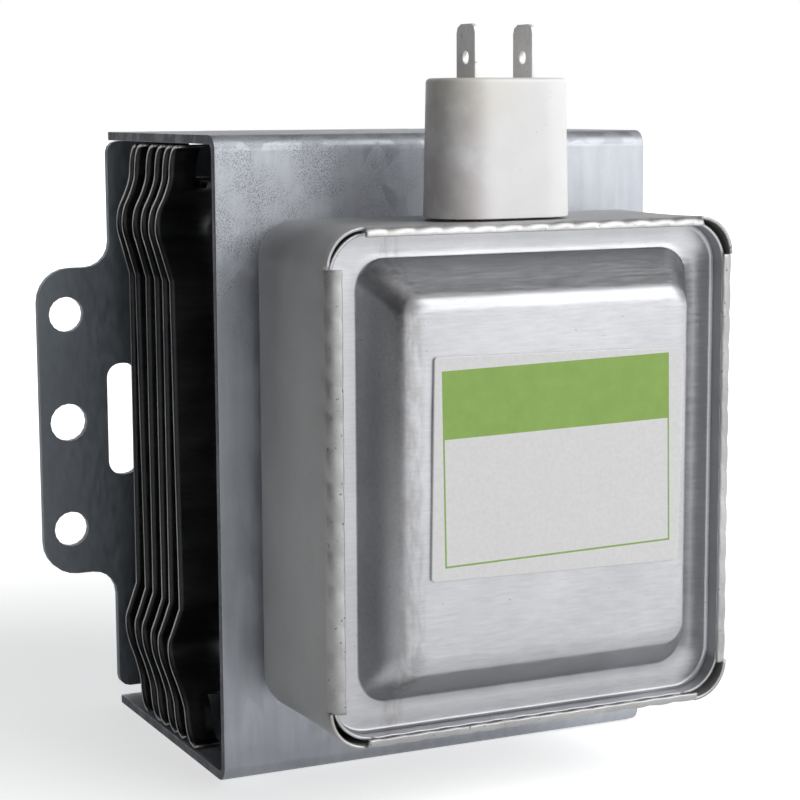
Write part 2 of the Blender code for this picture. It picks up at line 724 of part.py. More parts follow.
def rim_samples():
    """Points round the box's outer side: (x, z, nx, nz, fold, wave); the corners have no fold."""
    half_x = box_width / 2
    half_z = box_height / 2
    r = box_corner_radius
    sides = []
    for length, origin, direction, normal, fold, pitch in (
            (2 * (half_z - r), (half_x, -(half_z - r)), (0, 1), (1, 0), crimp_side_fold, crimp_side_pitch),
            (2 * (half_x - r), (half_x - r, half_z), (-1, 0), (0, 1), crimp_end_fold, crimp_end_pitch),
            (2 * (half_z - r), (-half_x, half_z - r), (0, -1), (-1, 0), crimp_side_fold, crimp_side_pitch),
            (2 * (half_x - r), (-(half_x - r), -half_z), (1, 0), (0, -1), crimp_end_fold, crimp_end_pitch)):
        waves = round(length / pitch)
        count = waves * crimp_points
        side = []
        for i in range(count + 1):
            t = length * i / count
            wave = math.cos(math.tau * i / crimp_points)
            side.append((origin[0] + direction[0] * t, origin[1] + direction[1] * t, *normal, fold, wave))
        sides.append(side)
    corners = []
    for sx, sz, start in ((1, 1, 0), (-1, 1, 90), (-1, -1, 180), (1, -1, 270)):
        corner = []
        for x, z in arc(0, 0, 1.0, start, start + 90, 6):
            corner.append((sx * (half_x - r) + r * x, sz * (half_z - r) + r * z, x, z, 0.0, 0.0))
        corners.append(corner)
    return sides, corners


def filter_box(finish):
    """A drawn steel can with its rim rolled over the lid in a wavy crimp, plain at the corners."""
    sides, corners = rim_samples()
    start = box_front + crimp_side_fold
    bm = bmesh.new()
    steps = 4

    def back_levels():
        for i in range(steps + 1):
            angle = math.pi / 2 * i / steps
            yield box_back_radius * (1 - math.sin(angle)), box_back - box_back_radius * (1 - math.cos(angle))

    def lip_point(sample, level):
        x, z, nx, nz, fold, wave = sample
        if level == 0:
            return x, start, z
        if fold == 0.0:
            return x, start - (crimp_side_fold - corner_edge_drop) * level / 3, z
        inward, behind = [(0.18, 0.43), (0.66, 0.06), (1.04, 0.03)][level - 1]
        inset = fold * inward - crimp_bulge * wave
        station = box_front + fold * behind + crimp_wave_height * (1 - wave) / 2
        return x - nx * inset, station, z - nz * inset

    coarse = []
    for side, corner in zip(sides, corners):
        coarse += [(side[0], side), (side[-1], None)]
        coarse += [(sample, None) for sample in corner[1:-1]]
    rings = []
    for inset, station in back_levels():
        rings.append([bm.verts.new((s[0] - s[2] * inset, station, s[1] - s[3] * inset)) for s, _ in coarse])
    count = len(coarse)
    for lower, upper in zip(rings, rings[1:]):
        for i in range(count):
            j = (i + 1) % count
            bm.faces.new((lower[i], lower[j], upper[j], upper[i]))
    bm.faces.new(reversed(rings[0]))
    lips = []
    for side, corner in zip(sides, corners):
        for sample in side:
            lips.append([bm.verts.new(lip_point(sample, level)) for level in range(4)])
        for sample in corner:
            lips.append([bm.verts.new(lip_point(sample, level)) for level in range(4)])
    for i in range(len(lips)):
        j = (i + 1) % len(lips)
        for level in range(3):
            bm.faces.new((lips[i][level], lips[j][level], lips[j][level + 1], lips[i][level + 1]))
    wall = rings[-1]
    index = 0
    base = 0
    for side, corner in zip(sides, corners):
        start = wall[index]
        end = wall[index + 1]
        row = [lips[base + k][0] for k in range(len(side))]
        bm.faces.new([start, end] + row[::-1])
        base += len(side)
        for k in range(len(corner) - 1):
            a = wall[(index + 1 + k) % count]
            b = wall[(index + 2 + k) % count]
            c = lips[(base + k + 1) % len(lips)][0]
            d = lips[base + k][0]
            bm.faces.new((a, b, c, d))
        base += len(corner)
        index += 1 + len(corner) - 1
    bmesh.ops.remove_doubles(bm, verts=bm.verts, dist=1e-6)
    bmesh.ops.recalc_face_normals(bm, faces=bm.faces)
    can = smooth(from_bmesh("filter_box", bm, finish), 40)
    can.location = (box_shift, yoke_front, box_z)
    thicken(can, box_sheet, -1).modifiers["sheet"].use_even_offset = False
    cut(can, rod_cutter("box_stem_cutter", box_stem_hole_radius, (0, -5 * mm, axis_z), (0, 5 * mm, axis_z),
                        segments=32))
    for x, z in box_rivet_places():
        cut(can, rod_cutter("can_rivet_cutter", box_rivet_radius + slide_gap, (x, -5 * mm, z), (x, 5 * mm, z),
                            segments=16))
    loop = rounded_outline(block_length / 2 + slide_gap, block_width / 2 + slide_gap, block_width / 2 - mm, 5)
    bm = bmesh.new()
    low = [bm.verts.new((x, y, -3 * mm)) for x, y in loop]
    high = [bm.verts.new((x, y, 3 * mm)) for x, y in loop]
    for i in range(len(loop)):
        j = (i + 1) % len(loop)
        bm.faces.new((low[i], low[j], high[j], high[i]))
    bm.faces.new(reversed(low))
    bm.faces.new(high)
    hole = hidden(from_bmesh("housing_hole_cutter", bm, where=cutters))
    hole.location = (0, yoke_front + housing_station, box_top)
    cut(can, hole)
    return can


def lid_loop(inset_x, inset_z, radius, station, rise=0.0):
    half_x = box_width / 2 - inset_x
    half_z = box_height / 2 - inset_z
    return [(x, station, z + rise) for x, z in rounded_outline(half_x, half_z, radius, 5)]


def filter_lid(finish):
    """A stamped pan: turned-up rim, flat flange and a raised middle panel."""
    rim = box_sheet + slide_gap + lid_sheet
    flange = lid_flange_station
    panel = lid_panel_station
    corner = lid_corner_radius - lid_sheet
    foot = panel_foot_inset
    edge = panel_edge_inset
    loops = [lid_loop(rim, rim, corner, lid_rim_front),
             lid_loop(rim, rim, corner, flange - lid_bend),
             lid_loop(rim + lid_bend, rim + lid_bend, corner - lid_bend, flange)]
    for inset, radius, station in (
            ((foot.x - lid_bend, foot.y - lid_bend), panel_foot_radius + lid_bend, flange),
            (foot, panel_foot_radius, flange - lid_bend),
            (edge, panel_edge_radius, panel + lid_shoulder),
            ((edge.x + 0.3 * lid_shoulder, edge.y + 0.5 * lid_shoulder),
             panel_edge_radius - 0.2 * lid_shoulder, panel + 0.3 * lid_shoulder),
            ((edge.x + lid_shoulder, edge.y + lid_shoulder), panel_edge_radius - 0.6 * lid_shoulder, panel)):
        loops.append(lid_loop(*inset, radius, station, panel_rise))
    lid = lofted("filter_lid", loops, finish, cap_first=False)
    lid.location = (box_shift, yoke_front, box_z)
    return thicken(lid, lid_sheet, 1)


def label(finish):
    sticker = flat("label_sticker", [rounded_outline(label_width / 2, label_height / 2, 0.5 * mm, 2)],
                   label_sheet, lid_panel_station - seat_gap - label_sheet / 2, finish)
    sticker.location.x = label_shift
    sticker.location.z = axis_z + label_rise
    sticker.rotation_euler.y = label_turn
    return sticker


def racetrack(length, width, z, steps=7):
    """A level loop with nearly round ends."""
    return [(x, y, z) for x, y in rounded_outline(length / 2, width / 2, width / 2 - 0.6 * mm, steps)]


def capacitor(housing_finish, ceramic, metal, tab_finish):
    """Moulded housing on the box, ceramic block and flange inside it, two conductors with spade tabs."""
    base = box_top + seat_gap
    top = base + housing_height
    small = (housing_length - housing_taper, housing_width - housing_taper)
    edge = 0.5 * mm
    loops = [racetrack(housing_length, housing_width, base), racetrack(*small, top - edge),
             racetrack(small[0] - 2 * edge, small[1] - 2 * edge, top)]
    housing = lofted("capacitor_housing", loops, housing_finish)
    housing.location = (0, yoke_front + housing_station, 0)
    flange_top = box_top - box_sheet - seat_gap
    hole = rounded_outline(block_length / 2 + slide_gap, block_width / 2 + slide_gap, block_width / 2 - mm, 5)
    outlines = [rounded_outline(flange_length / 2, flange_width / 2, 3 * mm, 4), hole]
    flat("capacitor_flange", outlines, flange_thickness, housing_station, metal,
         z=flange_top - flange_thickness / 2, upright=False)
    block_top = base - seat_gap
    block = lofted("capacitor_block", [racetrack(block_length, block_width, block_top - block_height),
                                       racetrack(block_length, block_width, block_top)], ceramic)
    block.location = (0, yoke_front + housing_station, 0)
    low = block_top - block_height - rod_tail
    for side, name in ((-1, "left"), (1, "right")):
        x = side * tab_spacing / 2
        hole = rod_cutter(f"conductor_hole_cutter_{name}", rod_radius + slide_gap,
                          (x, housing_station, low - mm), (x, housing_station, top + mm),
                          segments=16, along="Z")
        cut(housing, hole)
        cut(block, hole)
        conductor = rod(f"spade_terminal_{name}", rod_radius, (x, housing_station, low),
                        (x, housing_station, top - seat_gap), tab_finish, segments=16, along="Z")
        cut(conductor, spade(name, x, top), "UNION")


def spade(name, x, top):
    """The flat tab, with a round hole and clipped tip."""
    half = tab_width / 2
    foot = -1.2 * mm
    stem = 0.8 * rod_radius
    outline = [(-half, 0.4 * mm), (-stem, 0.1 * mm), (-stem, foot), (stem, foot),
               (stem, 0.1 * mm), (half, 0.4 * mm), (half, tab_length - tab_clip),
               (half - tab_clip, tab_length), (-half + tab_clip, tab_length), (-half, tab_length - tab_clip)]
    curve = bpy.data.curves.new(f"spade_{name}", "CURVE")
    curve.dimensions = "2D"
    curve.fill_mode = "BOTH"
    curve.extrude = tab_thickness / 2
    for points in (outline, circle(0, tab_length - tab_hole_drop, tab_hole_radius, 12)):
        spline = curve.splines.new("POLY")
        spline.points.add(len(points) - 1)
        for target, (u, v) in zip(spline.points, points):
            target.co = (u, v, 0, 1)
        spline.use_cyclic_u = True
    tab = place(bpy.data.objects.new(f"spade_{name}", curve), cutters)
    tab.location = (x, yoke_front + housing_station, top)
    tab.rotation_euler = (math.pi / 2, 0, math.pi / 2)
    return hidden(to_mesh(tab))


def box_rivets(finish):
    """Four rivets hold the box's back to the yoke."""
    inside = box_back - box_sheet - seat_gap
    behind = yoke_sheet + seat_gap
    crown = 0.7 * box_rivet_head_radius
    for number, (x, z) in enumerate(box_rivet_places(), 1):
        profile = [(0, behind + box_rivet_head_height), (crown, behind + box_rivet_head_height),
                   (box_rivet_head_radius, behind), (box_rivet_radius, behind), (box_rivet_radius, inside),
                   (box_rivet_head_radius, inside), (crown, inside - box_rivet_head_height),
                   (0, inside - box_rivet_head_height)]
        rivet = turned(f"box_rivet_{number}", profile, finish, 12, closed=False)
        rivet.location.x = x
        rivet.location.z = z


def chokes(wire_finish, core_finish):
    """Two coils on ferrite rods join the stem's terminals to the capacitor's conductors."""
    radius = choke_core_radius + slide_gap + choke_wire
    low = axis_z + choke_rise
    pitch = choke_wire * 2 + choke_turn_gap
    count = choke_turns * choke_turn_points
    end_z = box_top - block_height - rod_tail - seat_gap - choke_wire
    for side, name in ((-1, "left"), (1, "right")):
        cx = side * choke_spacing / 2
        middle = low + choke_turns * pitch / 2
        rod(f"choke_core_{name}", choke_core_radius, (cx, choke_station, middle - choke_core_length / 2),
            (cx, choke_station, middle + choke_core_length / 2), core_finish, segments=16, along="Z")
        level = stem_terminal_spread / 2 if side < 0 else -side_lead_offset - stem_terminal_spread / 2
        weld = stem_end() - 2 * seat_gap - stem_terminal_thickness - choke_wire
        points = [(side * 0.43 * stem_terminal_width, weld, axis_z + level),
                  (cx - side * radius * 0.9, weld, axis_z + level)]
        for i in range(count + 1):
            angle = math.tau * i / choke_turn_points
            points.append((cx - side * radius * math.cos(angle), choke_station + radius * math.sin(angle),
                           low + pitch * i / choke_turn_points))
        x = side * tab_spacing / 2
        points += [(x, housing_station, end_z - 2.5 * choke_wire), (x, housing_station, end_z)]
        tube(f"choke_coil_{name}", points, choke_wire, wire_finish)


def main():
    for obj in list(bpy.data.objects):
        bpy.data.objects.remove(obj)
    bpy.context.scene.collection.children.link(parts)
    bpy.context.scene.collection.children.link(cutters)
    galvanised = material("galvanised_steel", (0.42, 0.44, 0.46), 0.45, 1.0)
    dark_steel = material("dark_steel", (0.09, 0.095, 0.11), 0.5, 0.9)
    fin_aluminium = material("fin_aluminium", (0.12, 0.12, 0.125), 0.45, 0.9)
    lid_steel = material("lid_steel", (0.6, 0.61, 0.63), 0.38, 1.0)
    box_steel = material("box_steel", (0.3, 0.3, 0.31), 0.5, 1.0)
    copper = material("copper", (0.72, 0.38, 0.22), 0.35, 1.0)
    ferrite = material("ferrite", (0.05, 0.05, 0.055), 0.6, 0.0)
    seal_metal = material("seal_metal", (0.55, 0.54, 0.52), 0.35, 1.0)
    ceramic = material("alumina_ceramic", (0.85, 0.80, 0.76), 0.4, 0.0)
    tungsten = material("tungsten", (0.3, 0.3, 0.31), 0.4, 1.0)
    cap_steel = material("cap_steel", (0.65, 0.64, 0.62), 0.25, 1.0)
    plastic = material("housing_plastic", (0.80, 0.78, 0.75), 0.45, 0.0)
    tinned = material("tinned_brass", (0.55, 0.53, 0.50), 0.35, 1.0)
    paper = material("label_paper", (0.82, 0.82, 0.80), 0.5, 0.0)
    mesh_metal = material("knitted_wire", (0.5, 0.48, 0.44), 0.4, 1.0)
    yoke_frame(galvanised)
    mounting_plate(dark_steel)
    for number in range(1, fin_count + 1):
        cooling_fin(number, fin_aluminium)
    for name, front in (("input_magnet", magnet_front), ("output_magnet", output_magnet_front)):
        ring(name, magnet_bore, magnet_radius, front, front + magnet_thickness, ferrite, 36)
    anode(copper)
    pole_piece("input_pole_piece", input_pole_station, 1, seal_metal)
    output_pole = pole_piece("output_pole_piece", output_pole_station, -1, seal_metal)
    x, z = antenna_lead_place()
    cut(output_pole, rod_cutter("antenna_lead_cutter", antenna_lead_radius + slide_gap,
                                (x, output_pole_station - 2 * pole_dish_depth, z),
                                (x, output_pole_station + pole_sheet, z),
                                segments=16))
    for number in range(1, vane_count + 1):
        vane(number, copper)
    strap_rings(copper)
    filament(tungsten)
    end_shields_and_leads(tungsten, tungsten)
    seals_and_ceramics(seal_metal, ceramic)
    stem_terminals(tinned)
    antenna(cap_steel, copper)
    gasket(mesh_metal)
    filter_box(box_steel)
    filter_lid(lid_steel)
    label(paper)
    capacitor(plastic, ceramic, tinned, tinned)
    box_rivets(seal_metal)
    chokes(copper, ferrite)


main()
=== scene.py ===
"""How the microwave oven magnetron looks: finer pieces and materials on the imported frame."""

import json
import math
from collections import namedtuple

import bmesh
import bpy
from mathutils import Matrix, Vector, noise


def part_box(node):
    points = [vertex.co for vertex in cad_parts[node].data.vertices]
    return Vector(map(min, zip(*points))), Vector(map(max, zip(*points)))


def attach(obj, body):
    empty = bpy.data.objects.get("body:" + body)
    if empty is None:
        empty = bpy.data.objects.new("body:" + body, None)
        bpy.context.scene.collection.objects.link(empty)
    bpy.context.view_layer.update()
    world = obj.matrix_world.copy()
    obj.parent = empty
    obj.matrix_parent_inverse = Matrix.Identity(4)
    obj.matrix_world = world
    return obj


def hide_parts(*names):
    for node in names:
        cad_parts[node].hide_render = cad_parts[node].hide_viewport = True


mm = 0.001
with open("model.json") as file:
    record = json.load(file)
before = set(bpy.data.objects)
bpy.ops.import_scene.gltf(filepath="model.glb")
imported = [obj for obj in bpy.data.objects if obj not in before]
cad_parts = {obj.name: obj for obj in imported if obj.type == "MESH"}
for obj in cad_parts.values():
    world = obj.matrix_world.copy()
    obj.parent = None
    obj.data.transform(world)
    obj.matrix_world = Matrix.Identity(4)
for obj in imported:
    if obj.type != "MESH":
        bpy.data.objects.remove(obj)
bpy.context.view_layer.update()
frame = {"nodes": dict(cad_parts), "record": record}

# Camera: where it stands, where it looks and its lens, solved from the yoke's edges
camera_place = Vector((-154.36, -330.07, 107.46)) * mm
camera_turn = math.radians(-25.645)
camera_pitch = math.radians(7.954)
camera_roll = math.radians(-0.293)
camera_lens = 95.1

# Filter box and lid
drawn_sheet = 0.5 * mm           # also of the antenna's cap and seal
can_corner = 6.0 * mm
can_back_radius = 5.4 * mm
corner_edge_drop = 0.9 * mm      # the can's plain edge at a corner, behind the crimped front
side_fold = 2.0 * mm             # the rim rolls this far in and back, on the upright sides
end_fold = 1.3 * mm              # and on the upper and lower sides
side_pitch = 5.0 * mm            # from one mark of the crimping tool to the next
end_pitch = 4.35 * mm
side_crimp = 0.16 * mm           # depth of the tool's marks on the upright sides
end_crimp = 0.23 * mm
crimp_slant = -0.4               # of a wave, from the wall to the lip's edge
lid_panel_height = 8.0 * mm
lid_rim_height = 2.9 * mm
lid_bend = 0.6 * mm
lid_corner = 6.3 * mm            # outer radius of the lid's rim
lid_offset = Vector((-0.2, 0.2)) * mm    # the lid sits a little towards the upper left
foot_inset = Vector((6.6, 5.75)) * mm    # from the can's side to the foot of the panel's slope
edge_inset = Vector((10.1, 10.2)) * mm   # and to the slope's upper edge
panel_rise = 0.35 * mm           # the panel lies this far above the lid's middle
foot_radius = 4.4 * mm           # of the corners at the slope's foot
edge_radius = 3.6 * mm           # and at its upper edge
shoulder = 1.4 * mm              # depth of the rounding between slope and panel

# Fins
fin_visible_sheet = 0.42 * mm    # less than the solid's, as the sheared edges are rounded over
rear_fin_station = 37.0 * mm     # the rear fin's flat middle, from the yoke's front face
fin_pitch = 4.2 * mm
# From the rear fin on: the wings' distance from the yoke's front (mm), their lean, the feet's length (mm)
fin_wings = ((42.85, 0.0, 4.4), (38.8, 0.030, 5.6), (34.1, 0.002, 5.2),
             (29.4, 0.006, 5.0), (25.6, 0.004, 5.0), (21.4, 0.028, 5.6))

# Label
label_size = Vector((42.6, 33.2)) * mm
label_shift = Vector((-0.4, 0.0, 0.0)) * mm
label_turn = math.radians(1.0)
label_print_half = 19.42 * mm    # half of the green frame's width
label_print_top = 15.2 * mm      # above the label's middle
label_print_bottom = -14.0 * mm
label_print_shift = 0.2 * mm     # of the print to the left, on the paper
label_band_height = 10.1 * mm
label_frame_line = 0.28 * mm


class Graph:
    """Short calls that add nodes to a node tree."""

    def __init__(self, tree):
        self.tree = tree

    def add(self, kind, inputs=None, **settings):
        """A node with its settings made and its inputs set or linked."""
        node = self.tree.nodes.new("ShaderNode" + kind)
        for key, value in settings.items():
            setattr(node, key, value)
        for key, value in (inputs or {}).items():
            self.feed(value, node.inputs[key])
        return node

    def feed(self, value, socket):
        if isinstance(value, bpy.types.NodeSocket):
            self.tree.links.new(value, socket)
        else:
            socket.default_value = value

    def math(self, operation, a, b=0.0, clamp=False):
        return self.add("Math", {0: a, 1: b}, operation=operation, use_clamp=clamp).outputs[0]

    def times(self, a, b):
        return self.math("MULTIPLY", a, b)

    def seen_rays(self, mirrored=1.0):
        """1 for camera rays, and a share for glossy and transmission rays."""
        rays = self.add("LightPath").outputs
        either = self.math("MAXIMUM", rays["Is Glossy Ray"], rays["Is Transmission Ray"])
        return self.math("MAXIMUM", rays["Is Camera Ray"], self.times(either, mirrored))


class Shader(Graph):
    """A Principled material and short calls for the nodes that make its pattern."""

    def __init__(self, name, roughness, metallic, sockets=None):
        self.material = bpy.data.materials.new(name)
        self.material.use_nodes = True
        super().__init__(self.material.node_tree)
        self.bsdf = self.tree.nodes["Principled BSDF"]
        self.bsdf.inputs["Roughness"].default_value = roughness
        self.bsdf.inputs["Metallic"].default_value = metallic
        for socket, value in (sockets or {}).items():
            self.bsdf.inputs[socket].default_value = value
        self.place = self.add("TexCoord").outputs["Object"]

    def stretch(self, x, y, z):
        """Coordinates that draw a pattern out: a small number makes it long on that axis."""
        return self.add("Mapping", {"Vector": self.place, "Scale": (x, y, z)}).outputs["Vector"]

    def noise(self, size, detail=3.0, roughness=0.55, vector=None):
        """Noise whose features are about this many metres across."""
        return self.add("TexNoise", {"Vector": vector or self.place, "Scale": 1 / size, "Detail": detail,
                                     "Roughness": roughness}).outputs["Fac"]

    def cells(self, size, vector):
        """A colour of its own for each cell, about this many metres across."""
        return self.add("TexVoronoi", {"Vector": vector, "Scale": 1 / size}).outputs["Color"]

    def ramp(self, factor, *stops):
        """A colour ramp; each stop is (position, colour)."""
        node = self.add("ValToRGB", {"Fac": factor})
        ramp = node.color_ramp
        while len(ramp.elements) < len(stops):
            ramp.elements.new(0.5)
        for element, (position, colour) in zip(ramp.elements, stops):
            element.position = position
            element.color = (*colour, 1.0)
        return node.outputs["Color"]

    def mix(self, factor, a, b):
        node = self.add("Mix", data_type="RGBA")
        self.feed(factor, node.inputs[0])
        self.feed(a if isinstance(a, bpy.types.NodeSocket) else (*a, 1.0), node.inputs[6])
        self.feed(b if isinstance(b, bpy.types.NodeSocket) else (*b, 1.0), node.inputs[7])
        return node.outputs[2]

    def facing(self, name):
        """One part of the surface normal."""
        return self.add("SeparateXYZ", {"Vector": self.add("NewGeometry").outputs["Normal"]}).outputs[name]

    def axis(self, name):
        """One of the object's own coordinates."""
        return self.add("SeparateXYZ", {"Vector": self.place}).outputs[name]

    def span(self, value, low, high, to_low=0.0, to_high=1.0):
        """The value's way from low to high, drawn out smoothly from to_low to to_high."""
        return self.add("MapRange", {"Value": value, "From Min": low, "From Max": high, "To Min": to_low,
                                     "To Max": to_high}, interpolation_type="SMOOTHSTEP").outputs["Result"]

    def bump(self, height, strength, distance):
        node = self.add("Bump", {"Height": height, "Strength": strength, "Distance": distance})
        self.feed(node.outputs["Normal"], self.bsdf.inputs["Normal"])

    def paint(self, colour, roughness=None):
        """Gives the material its colour, and its roughness where that varies."""
        self.feed(colour, self.bsdf.inputs["Base Color"])
        if roughness is not None:
            self.feed(roughness, self.bsdf.inputs["Roughness"])
        return self.material


def grey(value, warm=0.0):
    """A grey, yellower where warm is above 0 and bluer where it is below."""
    return (value * (1 + warm), value, value * (1 - warm))


def sheet_metal(name, tone, roughness, metallic, grain, variation=0.12, warm=0.0, pits=0.0,
                streak=(1, 1, 1), painted_right_shade=0.0):
    """Rolled or drawn sheet: cloudy tone, fine grain, dark specks; a painted shade can darken its far right
    side.
    """
    s = Shader(name, roughness, metallic)
    cloud = s.noise(14 * mm, 4.0)
    drawn = s.noise(grain, 5.0, 0.65, s.stretch(*streak))
    shades = [grey(tone * share, warm) for share in (1 - variation, 1 + variation, 0.78, 1.22)]
    colour = s.ramp(cloud, (0.3, shades[0]), (0.7, shades[1]))
    colour = s.mix(0.35, colour, s.ramp(drawn, (0.35, shades[2]), (0.65, shades[3])))
    if pits:
        speck = s.span(s.noise(0.7 * mm, 2.0, 0.5), 0.66, 0.74)
        colour = s.mix(s.times(speck, pits), colour, grey(tone * 0.3))
    # Painted shade: the far right side, beyond x = 38 mm, is darkened where it lies in shade.
    if painted_right_shade:
        right_shade_mask = s.span(s.axis("X"), 38 * mm, 40 * mm, 0.0, painted_right_shade)
        colour = s.mix(right_shade_mask, colour, grey(tone * 0.25))
    worn = s.span(drawn, 0.3, 0.7, roughness - 0.07, roughness + 0.09)
    s.bump(drawn, 0.25, 0.05 * mm)
    return s.paint(colour, worn)


def zinc_material():
    """Galvanised sheet: faint spangle, fine pits gathered near the upper left, sheared edges darker as bare
    cut steel and as painted shade, and painted shade on its bends.
    """
    s = Shader("zinc", 0.5, 0.75)
    x = s.axis("X")
    z = s.axis("Z")
    cells = s.cells(3.2 * mm, s.stretch(1.0, 1.0, 0.6))
    spangle = s.add("SeparateColor", {"Color": cells}).outputs[0]
    cloud = s.noise(16 * mm, 4.0, 0.6)
    streaks = s.noise(1.6 * mm, 4.0, 0.6, s.stretch(1.0, 1.0, 0.12))
    colour = s.ramp(cloud, (0.28, (0.39, 0.41, 0.45)), (0.72, (0.55, 0.57, 0.61)))
    colour = s.mix(0.16, colour, s.ramp(spangle, (0.0, (0.34, 0.36, 0.40)), (1.0, (0.64, 0.66, 0.69))))
    colour = s.mix(0.22, colour, s.ramp(streaks, (0.35, (0.37, 0.39, 0.43)), (0.65, (0.60, 0.62, 0.65))))
    pits = s.span(s.noise(0.24 * mm, 2.0, 0.6), 0.44, 0.64)
    upper_left = s.times(s.span(z, 62 * mm, 88 * mm), s.span(x, 8 * mm, -22 * mm))
    gather = s.times(s.span(s.noise(6 * mm, 3.0), 0.32, 0.62), s.math("ADD", upper_left, 0.10))
    colour = s.mix(s.math("MULTIPLY", pits, gather, clamp=True), colour, (0.27, 0.28, 0.31))
    # Sheared edges, facing sideways, are darkened: partly the cut steel's own darker tone, partly painted
    # shade, as the left edges lie in shade.
    side = s.math("ABSOLUTE", s.facing("X"))
    sheared = s.times(s.span(side, 0.6, 0.9), s.span(s.noise(0.8 * mm, 3.0), 0.2, 0.7, 0.75, 1.0))
    colour = s.mix(sheared, colour, (0.11, 0.115, 0.13))
    # Painted shade: faces half turned up, at the yoke's bends, are darkened to damp the lamp's highlight
    # there.
    upward = s.facing("Z")
    bend = s.times(s.span(upward, 0.06, 0.25), s.span(upward, 0.90, 0.65))
    colour = s.mix(s.times(bend, 0.4), colour, (0.10, 0.105, 0.12))
    rough = s.span(s.math("ADD", spangle, cloud), 0.4, 1.4, 0.42, 0.58)
    s.bump(s.math("SUBTRACT", streaks, s.times(pits, 0.5)), 0.22, 0.05 * mm)
    return s.paint(colour, rough)


def lid_material():
    """Bright drawn steel with horizontal brush marks; painted shade on its rim walls, bends and lower edge,
    and a painted dark reflection as a brownish band on the left shoulder.
    """
    s = Shader("lid_metal", 0.36, 0.9)
    x = s.axis("X")
    z = s.axis("Z")
    upward = s.facing("Z")
    marks = s.noise(0.5 * mm, 5.0, 0.7, s.stretch(0.12, 1.0, 1.0))
    cloud = s.noise(11 * mm, 4.0, 0.6)
    colour = s.ramp(cloud, (0.3, (0.47, 0.475, 0.49)), (0.7, (0.56, 0.565, 0.58)))
    colour = s.mix(0.3, colour, s.ramp(marks, (0.35, (0.38, 0.385, 0.40)), (0.65, (0.65, 0.655, 0.67))))
    scratch = s.span(s.noise(0.9 * mm, 6.0, 0.75, s.stretch(0.2, 1.0, 1.6)), 0.66, 0.74)
    colour = s.mix(s.times(scratch, 0.3), colour, (0.36, 0.36, 0.37))
    dot = s.span(s.noise(0.8 * mm, 1.0, 0.5), 0.76, 0.79)
    colour = s.mix(s.times(dot, 0.5), colour, (0.20, 0.20, 0.21))
    # Painted shade: faces turned away from the front, the rim walls inside the can's lip, are darkened.
    painted_wall_shade = s.span(s.math("ABSOLUTE", s.facing("Y")), 0.40, 0.20, 0.0, 0.6)
    colour = s.mix(painted_wall_shade, colour, (0.16, 0.165, 0.18))
    # Painted shade: faces half turned up, at the bends and the shoulder, are darkened to damp the lamp's
    # highlight there.
    bend = s.times(s.span(upward, 0.08, 0.30), s.span(upward, 0.80, 0.62))
    colour = s.mix(s.times(bend, 0.5), colour, (0.08, 0.083, 0.09))
    # Painted shade: upward-facing faces near the lid's lower edge are darkened.
    painted_low_wall_shade = s.times(s.span(upward, 0.4, 0.7), s.span(z, 20 * mm, 17 * mm))
    colour = s.mix(s.times(painted_low_wall_shade, 0.6), colour, (0.12, 0.125, 0.14))
    # Painted reflection: a brownish dark band on the left shoulder stands for a dark thing mirrored in the
    # steel.
    painted_dark_reflection = s.times(s.span(x, -19.5 * mm, -21.0 * mm), s.span(x, -24.5 * mm, -22.5 * mm))
    painted_dark_reflection = s.times(painted_dark_reflection, s.span(s.noise(1.2 * mm, 4.0, 0.6, s.stretch(1.0, 1.0, 0.3)), 0.35, 0.65))
    colour = s.mix(s.times(painted_dark_reflection, 0.35), colour, (0.20, 0.17, 0.155))
    s.bump(marks, 0.22, 0.04 * mm)
    return s.paint(colour, s.span(marks, 0.3, 0.7, 0.30, 0.42))


def plastic_material():
    """Off-white moulded resin: a yellow tint near its top, painted brown-grey shade on its left, small dark
    specks.
    """
    s = Shader("housing_resin", 0.42, 0.0, {"Subsurface Weight": 0.12, "Subsurface Scale": 1.5 * mm,
                                            "Subsurface Radius": (1.0, 0.8, 0.6)})
    x = s.axis("X")
    z = s.axis("Z")
    cloud = s.noise(9 * mm, 3.0)
    colour = s.ramp(cloud, (0.3, (0.83, 0.82, 0.815)), (0.7, (0.89, 0.88, 0.875)))
    tint = s.times(s.span(z, 100 * mm, 111 * mm), s.span(x, 6 * mm, -10 * mm))
    colour = s.mix(s.times(tint, 0.45), colour, (0.72, 0.68, 0.52))
    # Painted shade: the housing's left part, turned to the dark side, is darkened brown-grey.
    painted_left_shade = s.times(s.span(x, -3.0 * mm, -8.5 * mm), s.span(z, 117 * mm, 108 * mm))
    painted_left_shade = s.times(painted_left_shade, s.span(s.noise(6 * mm, 4.0), 0.25, 0.6))
    colour = s.mix(s.times(painted_left_shade, 0.5), colour, (0.50, 0.43, 0.40))
    speck = s.span(s.noise(0.5 * mm, 1.0, 0.5), 0.78, 0.80)
    colour = s.mix(s.times(speck, 0.4), colour, (0.25, 0.23, 0.2))
    s.bump(s.noise(0.35 * mm, 3.0), 0.12, 0.03 * mm)
    return s.paint(colour, s.span(cloud, 0.3, 0.7, 0.36, 0.48))


